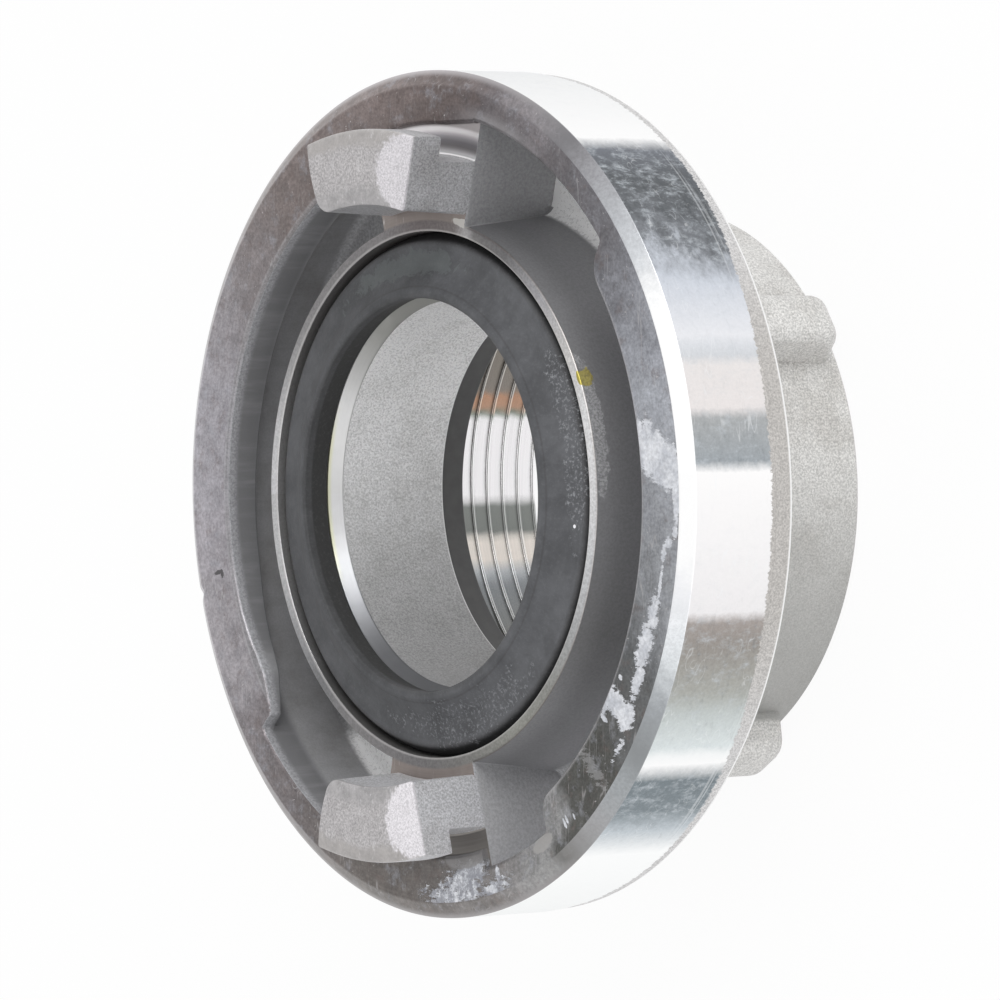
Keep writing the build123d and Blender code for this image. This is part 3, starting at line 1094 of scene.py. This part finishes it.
# %% Ledge and hook gap
ledge = cut.shade(cut.mix(stain, (150, 142, 138), (128, 118, 113)), rings, 0.85, 1.15)
ledge = cut.mix(cut.times(cut.scratches(0.8, 10, 4.0), 0.6), ledge, (215, 213, 212))
gap_from, gap_width = 39.0, 4.0
# Painted reflection: the hook gap's bright and dark bands over the radius.
gap = cut.ramp(cut.scaled(cut.radius, 1 / gap_width, -gap_from / gap_width), [
    (0.0, 80, 78, 78), (0.07, 180, 179, 180), (0.11, 255, 254, 255), (0.18, 255, 254, 255),
    (0.25, 214, 211, 213), (0.31, 176, 172, 174), (0.37, 152, 149, 151),
    (0.5, 152, 149, 153), (0.62, 184, 181, 185), (0.7, 218, 213, 217),
    (0.78, 255, 252, 253), (0.86, 250, 246, 248), (0.93, 190, 184, 185),
])
lower_gap = cut.shade((146, 142, 138), rings, 0.8, 1.22)
gap = cut.mix(cut.inside(cut.angle, -120, -60, 1.0), gap, lower_gap)
# %% Waterway mouth, and the machined faces together
# Painted reflection: like the seat ring's, the mouth's tone round the axis mirrors the tent.
mouth_tone = cut.round_ramp(0.0, [
    (-175, 208, 208, 209), (-160, 176, 177, 179), (-145, 134, 135, 138),
    (-125, 112, 113, 116), (-90, 118, 119, 122), (0, 190, 190, 190), (80, 172, 172, 168),
    (125, 168, 168, 164), (150, 206, 206, 206),
])
mouth = cut.shade(mouth_tone, cut.scaled(rings, 0.5, cut.times(stain, 0.5)), 0.84, 1.12)
greased = cut.times(cut.inside(cut.radius, nozzle_radius - 1.3, nozzle_radius - 0.7, 0.15), 0.7)
greased = cut.times(greased, cut.rise(cut.calc("ABSOLUTE", cut.angle), 150.0, 168.0))
mouth = cut.mix(greased, mouth, (196, 196, 158))
on_ledge = cut.rise(cut.radius, seat_outer_radius - 0.2, seat_outer_radius + 0.2)
colour = cut.mix(on_ledge, seat, ledge)
colour = cut.mix(cut.rise(cut.radius, web_radius - 0.3, web_radius - 0.1), colour, gap)
colour = cut.mix(cut.rise(cut.radius, nozzle_radius + 0.2, nozzle_radius), colour, mouth)
paint = cut.patch(24.6, seat_outer_radius, 1.6, 0.35, 0.7, cut.noise(0.8, 3.0, 0.6, shift=15.0))
colour = cut.mix(paint, colour, (176, 164, 84))
upper_burr = cut.patch(76.5, 32.0, 3.6, 0.45, 1.6, stain)
burrs = cut.most(upper_burr, cut.patch(-74.0, 32.4, 1.4, 0.5, 1.2, stain))
colour = cut.mix(cut.times(burrs, 0.8), colour, (206, 204, 200))
cut.set(Base_Color=colour, Roughness=cut.scaled(rings, 0.2, 0.27), Normal=cut.bump(rings, 0.01))
cut.tell()

# %% [markdown]
# ## The oxidised rim face
# The front of the rim has a brown-grey oxide skin from handling and weather, rubbed through to bare
# metal where the ring was set down or struck. The tone drifts round the ring, so it is a ramp over
# the angle. Bare patches, scuffs and scratches are laid over it where the real part has them, and
# plain noise gives the specks.

# %% Rim face finish
def oxide(look):
    """The oxide skin's colour, without the bare marks."""
    wobble = look.swing(look.noise(0.12, 3.0, shift=2.0), 15.0)
    skin = look.round_ramp(wobble, [
        (-175, 166, 162, 168), (-155, 160, 156, 160), (-144, 136, 131, 134),
        (-128, 114, 108, 108), (-108, 112, 107, 104), (-96, 106, 101, 98),
        (-84, 116, 112, 110), (-68, 146, 144, 144), (-59, 146, 146, 146), (-55, 92, 92, 89),
        (-42, 84, 84, 81), (-36, 96, 97, 97), (-24, 106, 108, 110), (-12, 146, 148, 152),
        (1, 150, 152, 157), (10, 172, 175, 182), (24, 155, 157, 164), (36, 118, 118, 123),
        (50, 104, 101, 104), (62, 128, 124, 127), (73, 104, 98, 100), (84, 104, 94, 92),
        (100, 126, 115, 113), (130, 124, 115, 113), (146, 140, 135, 137),
        (165, 164, 161, 167),
    ])
    skin = look.shade(skin, look.rise(look.radius, flange_radius, bevel_radius), 0.93, 1.1)
    mottle = look.noise(0.55, 5.0, 0.7, shift=5.0)
    smear = look.noise(0.5, 4.0, 0.7, shift=25.0)
    skin = look.shade(skin, look.rise(mottle, 0.25, 0.75), 0.78, 1.24)
    skin = look.mix(look.times(look.rise(smear, 0.52, 0.72), 0.4), skin, (168, 170, 178))
    skin = look.mix(look.times(look.rise(smear, 0.46, 0.3), 0.35), skin, (112, 98, 94))
    skin = look.shade(skin, look.lathe(4.0, 0.02), 0.86, 1.14)
    skin = look.shade(skin, look.grain(2.4, 31.0), 0.84, 1.16)
    specks = look.rise(look.noise(2.2, 3.0, 0.6, shift=11.0), 0.69, 0.74)
    skin = look.mix(look.times(specks, 0.7), skin, (214, 210, 210))
    scratches = ((0.9, 20, 3.0), (0.8, -50, 9.0), (0.7, 80, 1.0))
    lines = look.most(*[look.scratches(*values) for values in scratches])
    return look.mix(look.times(lines, 0.4), skin, (200, 197, 198)), mottle


# %% Bare marks on the rim face
rim = Finish("oxidised_rim_face", Metallic=0.75)
skin, mottle = oxide(rim)
ragged = rim.rise(rim.noise(1.6, 6.0, 0.8, stretch=(0.5, 1.2, 1)), 0.3, 0.7)
# Each mark: angle, radius, half of its span in degrees, half of its width, raggedness.
bare_marks = [
    (1.6, 46.7, 5.6, 0.7, 0.5), (4.2, 45.4, 3.7, 1.5, 0.4), (5.4, 43.8, 4.1, 1.5, 0.4),
    (6.8, 42.2, 4.6, 1.5, 0.5), (7.8, 40.9, 4.0, 1.1, 0.5), (-5.0, 46.6, 0.9, 0.5, 0.8),
    (-6.6, 45.6, 0.8, 0.6, 0.9), (-8.2, 44.8, 1.1, 0.45, 0.9), (-12.6, 44.7, 2.8, 0.28, 1.0),
    (-17.5, 44.3, 3.0, 0.9, 1.2), (-22.5, 44.0, 4.0, 1.2, 1.0), (-27.5, 44.4, 3.2, 0.8, 0.9),
    (-33.5, 44.6, 2.3, 1.4, 0.7), (-33.2, 42.6, 1.9, 1.8, 0.7), (-33.6, 40.9, 2.6, 0.8, 0.8),
    (-29.2, 41.5, 0.4, 0.35, 0.8), (-36.9, 41.5, 0.4, 0.7, 1.0), (-38.2, 45.5, 1.6, 0.35, 2.0),
    (-55.2, 45.0, 0.25, 0.65, 0.5), (-54.5, 44.9, 0.25, 0.6, 0.5), (-52.8, 45.3, 0.2, 0.4, 0.5),
    (-73.3, 45.2, 0.5, 1.1, 0.6), (-74.6, 46.6, 3.4, 1.0, 1.8), (-84.5, 46.5, 6.2, 1.2, 1.6),
    (-82.0, 45.3, 4.8, 1.5, 1.3), (-79.8, 44.0, 3.9, 1.3, 1.2),
]
bare = rim.most(*[rim.patch(*mark, ragged) for mark in bare_marks])
bare_tone = rim.mix(rim.rise(mottle, 0.35, 0.65), (240, 242, 247), (208, 211, 218))
bare_tone = rim.shade(bare_tone, rim.grain(2.0, 41.0), 0.82, 1.06)
rough_spot = rim.rise(rim.angle, -66.0, -69.0)
pitted = rim.times(rough_spot, rim.rise(rim.noise(1.1, 4.0, 0.75, shift=44.0), 0.6, 0.44))
bare_tone = rim.mix(rim.times(pitted, 0.75), bare_tone, (136, 137, 146))
colour = rim.mix(bare, skin, bare_tone)
# %% Smaller marks on the rim face
faint = rim.times(rim.patch(-44.6, 43.4, 0.9, 2.4, 2.4, ragged), 0.35)
colour = rim.mix(faint, colour, (190, 190, 192))
below_gap = rim.times(rim.patch(-80.5, 42.2, 5.6, 1.3, 0.4, mottle), 0.85)
colour = rim.mix(below_gap, colour, (150, 148, 148))
# Painted highlight: a soft light patch on the rim face at about -61 degrees.
highlight_patch = rim.times(rim.patch(-61.3, 44.9, 2.4, 0.9, 0.8, mottle), 0.8)
colour = rim.mix(highlight_patch, colour, (176, 174, 172))
edge_grain = rim.times(rim.rise(rim.radius, flange_radius + 0.75, flange_radius + 0.3), 0.45)
colour = rim.mix(edge_grain, colour, rim.shade((196, 195, 198), rim.grain(3.2), 0.7, 1.2))
# Painted highlight: a soft light band on the rim face beside the upper hook gap.
beside_gap = rim.inside(rim.angle, 63.0, 77.0, 6.0)
beside_gap = rim.times(beside_gap, rim.rise(rim.radius, 46.0, 44.2))
colour = rim.mix(rim.times(beside_gap, 0.6), colour, (176, 174, 176))
# Painted shade: the rounded inner edge of the rim face is painted darker, which dims its highlight.
soft_edge = rim.rise(rim.radius, flange_radius + 0.5, flange_radius + 0.15)
colour = rim.shade(colour, soft_edge, 1.0, 0.72)
dents = ((192.6, 43.4, 0.35, 0.9, 0.6), (193.0, 42.6, 0.7, 0.3, 0.6))
dent = rim.most(*[rim.patch(*mark, ragged) for mark in dents])
colour = rim.mix(dent, colour, (92, 90, 92))
relief = rim.bump(mottle, 0.05, rim.bump(bare, -0.03))
rim.set(Base_Color=colour, Roughness=rim.scaled(mottle, 0.3, 0.22), Normal=relief)
rim.tell()

# %% [markdown]
# ## The turned rim
# Only the front of the rim's outside was turned, up to a ragged line where the casting is smaller
# than the cut; behind it the blasted skin is left. The turned band is mirror bright, and its colour
# is a painted reflection of the tent: bright and dark bands that run across it, with mottle in the
# dark ones. So its tone is a ramp over the angle as well. The bevel at the front carries a painted
# reflection on the side towards +X and is oxidised elsewhere.

# %% Rim side finish
side = Finish("turned_rim_side", Metallic=1.0)
fray = side.noise(2.2, 4.0, 0.75, stretch=(1, 1, 0.4))
# On the dark side the bands of the painted reflection lie slantwise and cloudy; elsewhere their
# borders run along the axis.
wobble = side.swing(side.noise(0.8, 4.0, 0.7, shift=8.0), 0.6)
slant = side.times(side.rise(side.height, rim_edge_z, back_z), 5.0)
cloudy = side.noise(0.55, 5.0, 0.65, stretch=(1, 0.6, 1), shift=27.0, tilt=38.0)
slant = side.calc("ADD", slant, side.swing(cloudy, 15.0))
slant = side.times(slant, side.inside(side.angle, 31.0, 44.0, 6.0))
wobble = side.calc("ADD", slant, wobble)
# Painted reflection: the bright and dark bands round the turned rim.
band = side.round_ramp(wobble, [
    (-178, 232, 234, 236), (-150, 190, 194, 196), (-128, 238, 240, 240),
    (-108, 205, 208, 210), (-88, 244, 246, 246), (-56, 254, 255, 255),
    (-50.5, 186, 194, 200), (-46.5, 124, 133, 138), (-40.5, 118, 127, 132),
    (-38.4, 255, 255, 255), (-36.8, 255, 255, 255), (-36, 224, 231, 232),
    (-30, 194, 200, 199), (-27, 170, 171, 166), (-20, 150, 145, 140),
    (-16.2, 166, 158, 154), (-15.6, 240, 238, 239), (3.1, 255, 254, 254),
    (3.7, 156, 162, 167), (10, 172, 174, 175), (10.7, 234, 229, 228), (17.2, 234, 230, 229),
    (18.5, 208, 212, 217), (21, 236, 237, 241), (29, 208, 213, 222), (36, 128, 131, 136),
    (46, 88, 91, 94), (52.6, 112, 116, 124), (54.4, 255, 255, 255), (110, 206, 209, 212),
    (140, 238, 239, 240), (177, 232, 234, 236),
])
# %% Mottle in the dark bands of the painted reflection, and scuffs
blotch = side.noise(0.9, 5.0, 0.75, stretch=(1, 1, 0.6), shift=13.0)
stripes = side.noise(0.9, 5.0, 0.75, stretch=(1, 0.35, 1), shift=17.0, tilt=38.0)
tool = side.lathe(5.0, 0.03)
lightness = side.node("RGBToBW", {0: band}).outputs[0]
darkness = side.calc("SUBTRACT", 1.0, lightness, clamp=True)
uneven = side.times(darkness, 1.1)
band = side.mix(side.times(uneven, side.rise(blotch, 0.45, 0.8)), band, (196, 202, 208))
band = side.mix(side.times(uneven, side.rise(stripes, 0.5, 0.1)), band, (112, 118, 122))
speckle = side.times(side.rise(side.noise(2.6, 4.0, 0.75, shift=19.0), 0.35, 0.65), uneven)
band = side.shade(band, speckle, 1.0, 1.2)
near_back = side.rise(side.height, turned_end_z + 3.0, turned_end_z)
lines = side.times(side.rise(side.lathe(2.2, 0.02, 1.0, 40.0), 0.6, 0.68), near_back)
scuffs = (side.scratches(1.2, 35, 2.0, 0.03), side.scratches(1.0, -20, 5.0, 0.025))
scuffs = side.most(*scuffs, side.times(lines, uneven))
band = side.mix(side.times(scuffs, 0.32), band, (248, 250, 252))
# %% The blasted skin behind the turned band
grain = side.noise(4.2, 2.0, 0.7)
turn = side.calc("ABSOLUTE", side.angle)
blast = side.mix(side.rise(turn, 15.0, 40.0), (196, 193, 190), (214, 213, 213))
blast = side.shade(blast, side.rise(grain, 0.25, 0.75), 0.74, 1.22)
ends = side.rise(turn, 8.0, 50.0, turned_end_z + 0.6, turned_end_z - 1.3)
border = side.calc("ADD", ends, side.swing(fray, 0.8))
turned = side.rise(side.calc("SUBTRACT", side.height, border), -0.06, 0.06)
colour = side.mix(turned, blast, band)
# %% The bevel
# Painted reflection: the bevel is painted bright on the side towards +X, fading into oxide beyond
# about 60 degrees each way.
crack = side.swing(side.noise(0.6, 4.0, 0.7, shift=23.0), 4.0)
bevel_reflection_area = side.rise(side.calc("ADD", turn, crack), 66.0, 54.0)
bevel_reflection_tone = side.round_ramp(crack, [
    (-64, 142, 141, 140), (-57, 140, 139, 138), (-50, 164, 164, 166), (-43, 158, 162, 165),
    (-36, 142, 145, 147), (-29, 160, 164, 168), (-22, 216, 220, 223), (-14, 240, 241, 244),
    (-8, 255, 255, 255), (25, 255, 255, 255), (34, 202, 205, 209), (41, 172, 174, 178),
    (48, 148, 148, 152), (55, 122, 121, 124), (64, 130, 128, 131),
])
bevel_reflection_tone = side.shade(bevel_reflection_tone, speckle, 0.97, 1.2)
skin, mottle = oxide(side)
edge_tone = side.round_ramp(0.0, [
    (-150, 172, 168, 168), (40, 140, 138, 140), (64, 148, 145, 147), (90, 186, 181, 183),
    (140, 174, 170, 170),
])
faded = side.mix(side.rise(side.height, face_z - 0.5, rim_edge_z), skin, edge_tone)
bevel_tone = side.mix(bevel_reflection_area, faded, bevel_reflection_tone)
bevel = side.rise(side.height, rim_edge_z - 0.12, rim_edge_z + 0.02)
colour = side.mix(bevel, colour, bevel_tone)
# %% The rim side together
# Painted highlight: a white line along the rounded back edge of the rim.
lowest_line = side.rise(side.height, back_z + 0.45, back_z + 0.25)
colour = side.mix(lowest_line, colour, (248, 248, 248))
grit = side.times(grain, side.calc("SUBTRACT", 1.0, turned))
relief = side.bump(tool, 0.004, side.bump(grit, 0.05))
shine = side.scaled(turned, -0.22, 0.5)
metal = side.scaled(bevel, -0.65, 1.0)
side.set(Base_Color=colour, Roughness=shine, Metallic=metal, Normal=relief)
side.tell()

# %% [markdown]
# ## The thread's metal
# The tap left the thread's crests smooth and bright. Their colour is a painted reflection of the
# tent: soft bands along the axis.

# %% Thread finish
thread = Finish("tapped_thread", Metallic=1.0)
wobble = thread.swing(thread.noise(0.5, 3.0), 0.8)
colour = thread.round_ramp(wobble, [
    (-177.4, 254, 253, 254), (-176.7, 188, 190, 188), (-169.2, 184, 186, 184),
    (-168.6, 244, 240, 236), (-163, 242, 238, 234), (-160, 214, 216, 218),
    (-157, 188, 190, 192), (-140, 180, 180, 178), (-100, 232, 230, 230),
    (-50, 190, 188, 184), (0, 236, 234, 232), (50, 180, 178, 174), (100, 238, 236, 234),
    (140, 186, 182, 176), (156, 190, 186, 182), (157.2, 218, 194, 178),
    (160.8, 218, 198, 184), (161.8, 186, 192, 186), (163.2, 254, 253, 254),
    (178, 254, 253, 254),
])
tap = thread.lathe(9.0)
colour = thread.shade(colour, tap, 0.9, 1.08)
thread.set(Base_Color=colour, Roughness=0.2, Normal=thread.bump(tap, 0.004))
thread.tell()

# %% [markdown]
# ## Rubber
# The seal's face has worn to a dull grey with darker rings, a moulded line and dust in its pores; its
# outer edge and the inner wall of its lip are painted dark as shadow. The washer in the thread is
# darker towards its outer edge, with grime on its surface.

# %% Seal finish
rubber = Finish("seal_rubber", Metallic=0.0)
rubber.surface.inputs["Specular IOR Level"].default_value = 0.3
cloud = rubber.noise(0.25, 5.0, 0.65)
# Over the radius: darker rings and a moulded line, and at the outer edge a painted shadow in the
# crevice by the seat ring.
seal_from, seal_width = 22.4, 8.0
share = rubber.scaled(rubber.radius, 1 / seal_width, -seal_from / seal_width)
ring_tone = rubber.ramp(share, [
    (0.0, 72, 72, 73), (0.12, 82, 83, 86), (0.19, 80, 81, 84), (0.21, 72, 72, 74),
    (0.23, 80, 81, 84), (0.55, 84, 85, 88), (0.8, 84, 85, 88), (0.85, 72, 72, 74),
    (0.9, 32, 32, 33),
])
colour = rubber.shade(ring_tone, rubber.rise(cloud, 0.25, 0.75), 0.74, 1.22)
colour = rubber.shade(colour, rubber.lathe(1.6, 0.05), 0.9, 1.1)
to_the_right = rubber.rise(rubber.calc("ABSOLUTE", rubber.angle), 120.0, 40.0)
colour = rubber.shade(colour, to_the_right, 0.86, 1.1)
# Painted shadow: the inner wall of the lip, below its top, is painted dark.
lip_wall_shadow = rubber.rise(rubber.height, lip_top - 0.9, lip_top - 1.3)
lip_wall_shadow = rubber.times(lip_wall_shadow, rubber.rise(rubber.radius, 24.2, 23.9))
colour = rubber.mix(lip_wall_shadow, colour, (50, 50, 50))
speck = rubber.noise(2.4, 5.0, 0.75, shift=4.0)
dusty = rubber.patch(13.0, 28.0, 22.0, 1.9, 1.4, cloud)
dusty = rubber.most(dusty, rubber.times(rubber.patch(-75.0, 26.8, 28.0, 2.6, 2.4, cloud), 0.7))
dust = rubber.times(rubber.rise(speck, 0.5, 0.66), rubber.scaled(dusty, 0.6, 0.06))
colour = rubber.mix(dust, colour, (158, 160, 164))
smear = rubber.noise(0.45, 5.0, 0.7, twist=1.0, shift=9.0)
greasy = rubber.times(rubber.patch(98.0, 27.0, 22.0, 1.4, 2.8, smear), 0.33)
colour = rubber.mix(greasy, colour, (110, 117, 116))
dot = rubber.patch(-7.4, 27.6, 0.45, 0.2, 0.2, cloud)
colour = rubber.mix(dot, colour, (235, 235, 238))
rubber.set(Base_Color=colour, Roughness=0.6, Normal=rubber.bump(rubber.noise(2.0, 4.0, 0.65), 0.03))
rubber.tell()

# %% Washer finish
washer = Finish("gasket_rubber", Roughness=0.55)
grime = washer.noise(0.6, 4.0, 0.6)
colour = washer.mix(washer.rise(washer.radius, 26.6, 26.9), (98, 98, 98), (74, 70, 66))
washer.set(Base_Color=washer.shade(colour, grime, 0.75, 1.25), Normal=washer.bump(grime, 0.03))
washer.tell()

# %% [markdown]
# ## Put each finish where it belongs
# The casting is one mesh, so its faces are sorted by their place: radius, height, angle and which way
# they face. A face that fits several finishes gets the last one.

# %% Sort the casting's faces
def sort_faces(mesh):
    """Gives each face of the casting the number of its finish."""
    count = len(mesh.polygons)
    centre = np.zeros(count * 3)
    normal = np.zeros(count * 3)
    mesh.polygons.foreach_get("center", centre)
    mesh.polygons.foreach_get("normal", normal)
    centre = centre.reshape(-1, 3) / MM
    normal = normal.reshape(-1, 3)
    radius = np.hypot(centre[:, 0], centre[:, 1])
    turn = np.degrees(np.arctan2(centre[:, 1], centre[:, 0])) % 360
    z = centre[:, 2]
    out = (centre[:, 0] * normal[:, 0] + centre[:, 1] * normal[:, 1]) / np.maximum(radius, 1e-6)
    up = normal[:, 2]
    from_lug = np.minimum(abs(turn - lug_angles[0]), abs(turn - lug_angles[1]))
    near_lug = from_lug < lug_half_angle + 0.6

    def between(value, low, high):
        return (value > low) & (value < high)

    in_channel = between(radius, seat_outer_radius - 0.05, channel_radius + 0.1)
    in_channel &= z > floor_z - 0.1
    on_lug = near_lug & between(radius, seat_outer_radius - 0.8, nose_outer_radius + 0.1)
    on_lug &= z > floor_z + 0.2
    lug_end = (abs(out) < 0.4) & (abs(up) < 0.5)
    on_lug &= (radius < web_radius + 0.1) | (z > hook_z - 0.1) | lug_end
    mouth = (radius < nozzle_radius + 0.1) & (z > nozzle_z - 1.7)
    recess = (radius < collar_radius) & between(z, thread_length - 0.05, gasket_top_z + 0.1)
    seat = between(z, seat_z - 0.3, seat_z + 0.1) & (radius < lug_inner_radius + 0.1) & (up > 0.3)
    gap = near_lug & between(radius, web_radius - 0.1, channel_radius + 0.5)
    gap &= abs(z - gap_floor_z) < 0.1
    groove = between(radius, nozzle_radius - 0.1, seat_inner_radius + 0.7) & (z > pocket_z - 0.1)
    rim_top = between(z, face_z - 0.45, face_z + 0.1) & (up > 0.5)
    rim_top &= between(radius, flange_radius - 0.5, bevel_radius - 0.1)
    gap_edge = near_lug & between(radius, min(gap_step_radii[1]) - 0.4, channel_radius + 0.1)
    gap_edge &= between(z, gap_floor_z + 0.01, face_z + 0.1)
    outside = (radius > bevel_radius - 0.25) & (z > back_z - 0.5)
    outside &= (out > 0.1) | (z > rim_edge_z - 0.2)
    tapped = (radius < crest_radius + 1.9) & between(z, 0.05, thread_length) & (out < 0.4)
    places = [
        (collar, np.full(count, True)),
        (channel, in_channel),
        (lugs, on_lug),
        (bore, (radius < bore_radius + 0.1) & (z > gasket_top_z - 0.1)),
        (cut, mouth | recess | seat | gap | groove | (z < 0.05)),
        (rim, rim_top | gap_edge),
        (side, outside),
        (thread, tapped),
    ]
    choice = np.zeros(count, dtype=np.int32)
    mesh.materials.clear()
    for number, (finish, belongs) in enumerate(places):
        mesh.materials.append(finish.material)
        choice[belongs] = number
    mesh.polygons.foreach_set("material_index", choice)
    return np.bincount(choice, minlength=len(places))


print("faces per finish:", sort_faces(casting.data).tolist())
seal.data.materials.append(rubber.material)
gasket.data.materials.append(washer.material)

# %% [markdown]
# ## Light and floor
# The part was photographed on white paper in a light tent: white from below and from the sides, and
# less from above, with the strongest light from the side that shows at the photo's top right. The
# floor stays diffuse, so it takes the shadow, and what the camera or a mirror sees of it is white.

# %% Floor and lights
def studio_floor():
    """A wide white floor under the part."""
    half = 4.0
    mesh = bpy.data.meshes.new("floor")
    corners = [(-half, -half, 0), (half, -half, 0), (half, half, 0), (-half, half, 0)]
    mesh.from_pydata(corners, [], [(0, 1, 2, 3)])
    made = new_object("floor", mesh)
    material = bpy.data.materials.new("white_paper")
    material.use_nodes = True
    tree = material.node_tree
    tree.nodes.clear()
    rays = node(tree, "ShaderNodeLightPath").outputs
    mirrored = calc(tree, "MAXIMUM", rays["Is Glossy Ray"], rays["Is Transmission Ray"])
    seen = calc(tree, "MAXIMUM", rays["Is Camera Ray"], mirrored)
    paper = node(tree, "ShaderNodeBsdfDiffuse", {"Color": (0.9, 0.9, 0.9)}).outputs[0]
    glow = node(tree, "ShaderNodeEmission", {"Color": (1, 1, 1), "Strength": 1.0}).outputs[0]
    values = {0: calc(tree, "MULTIPLY", seen, 0.94), 1: paper, 2: glow}
    both = node(tree, "ShaderNodeMixShader", values).outputs[0]
    node(tree, "ShaderNodeOutputMaterial", {0: both})
    mesh.materials.append(material)


def softbox(name, place, size, watts):
    """A square soft light that looks at the part."""
    data = bpy.data.lights.new(name, "AREA")
    data.size = size
    data.energy = watts
    light = bpy.data.objects.new(name, data)
    bpy.context.scene.collection.objects.link(light)
    light.location = place
    aim = Vector((0, 0, 0.02)) - Vector(place)
    light.rotation_euler = aim.to_track_quat("-Z", "Y").to_euler()


studio_floor()
softbox("key", (0.7, 0.85, 0.55), 0.8, 6.5)
softbox("fill", (0.9, -0.6, 0.7), 1.0, 1.8)
print("lights:", len(bpy.data.lights))

# %% The white tent
# The tent is a little darker from above than from the sides.
world = bpy.data.worlds.new("light_tent")
bpy.context.scene.world = world
world.use_nodes = True
sky_tree = world.node_tree
heading = node(sky_tree, "ShaderNodeTexCoord").outputs["Generated"]
height = node(sky_tree, "ShaderNodeSeparateXYZ", {0: heading}).outputs[2]
sky = rise(sky_tree, height, 0.1, 0.8, 1.0, 0.75)
wire(sky_tree, sky, sky_tree.nodes["Background"].inputs["Strength"])
wire(sky_tree, (1.0, 1.0, 1.0), sky_tree.nodes["Background"].inputs["Color"])
print("world:", world.name)


# %% [markdown]
# ## Camera
# The photograph was taken from the front left of the object lying on its side, which is the same as
# looking down on the standing part with the camera rolled over. The place and the lens follow from
# the rim, seat, bore and collar circles.

# %% Camera
view_tilt = math.radians(53.04)
view_turn = math.radians(1.0)
view_roll = math.radians(-1.49)
camera_place = Vector((605.33, 9.72, 482.89)) * MM
level = math.sin(view_tilt)
toward = Vector((level * math.cos(view_turn), level * math.sin(view_turn), math.cos(view_tilt)))
axis_seen = (Vector((0, 0, 1)) - toward * toward.z).normalized()
picture_right = -axis_seen
picture_down = (-toward).cross(picture_right)
rolled_right = picture_right * math.cos(view_roll) - picture_down * math.sin(view_roll)
rolled_down = picture_right * math.sin(view_roll) + picture_down * math.cos(view_roll)
camera_data = bpy.data.cameras.new("camera")
camera_data.lens = 234
camera_data.sensor_width = 36
camera_data.clip_start = 0.05
camera_data.clip_end = 20
camera = bpy.data.objects.new("camera", camera_data)
bpy.context.scene.collection.objects.link(camera)
turned = Matrix((rolled_right, -rolled_down, toward)).transposed().to_4x4()
camera.matrix_world = Matrix.Translation(camera_place) @ turned
bpy.context.scene.camera = camera
print("camera at", tuple(round(c, 3) for c in camera_place))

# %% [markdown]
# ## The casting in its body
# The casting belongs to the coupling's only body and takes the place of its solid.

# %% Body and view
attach(casting, "root")
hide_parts("coupling_body")

bpy.context.scene.view_settings.view_transform = "Standard"
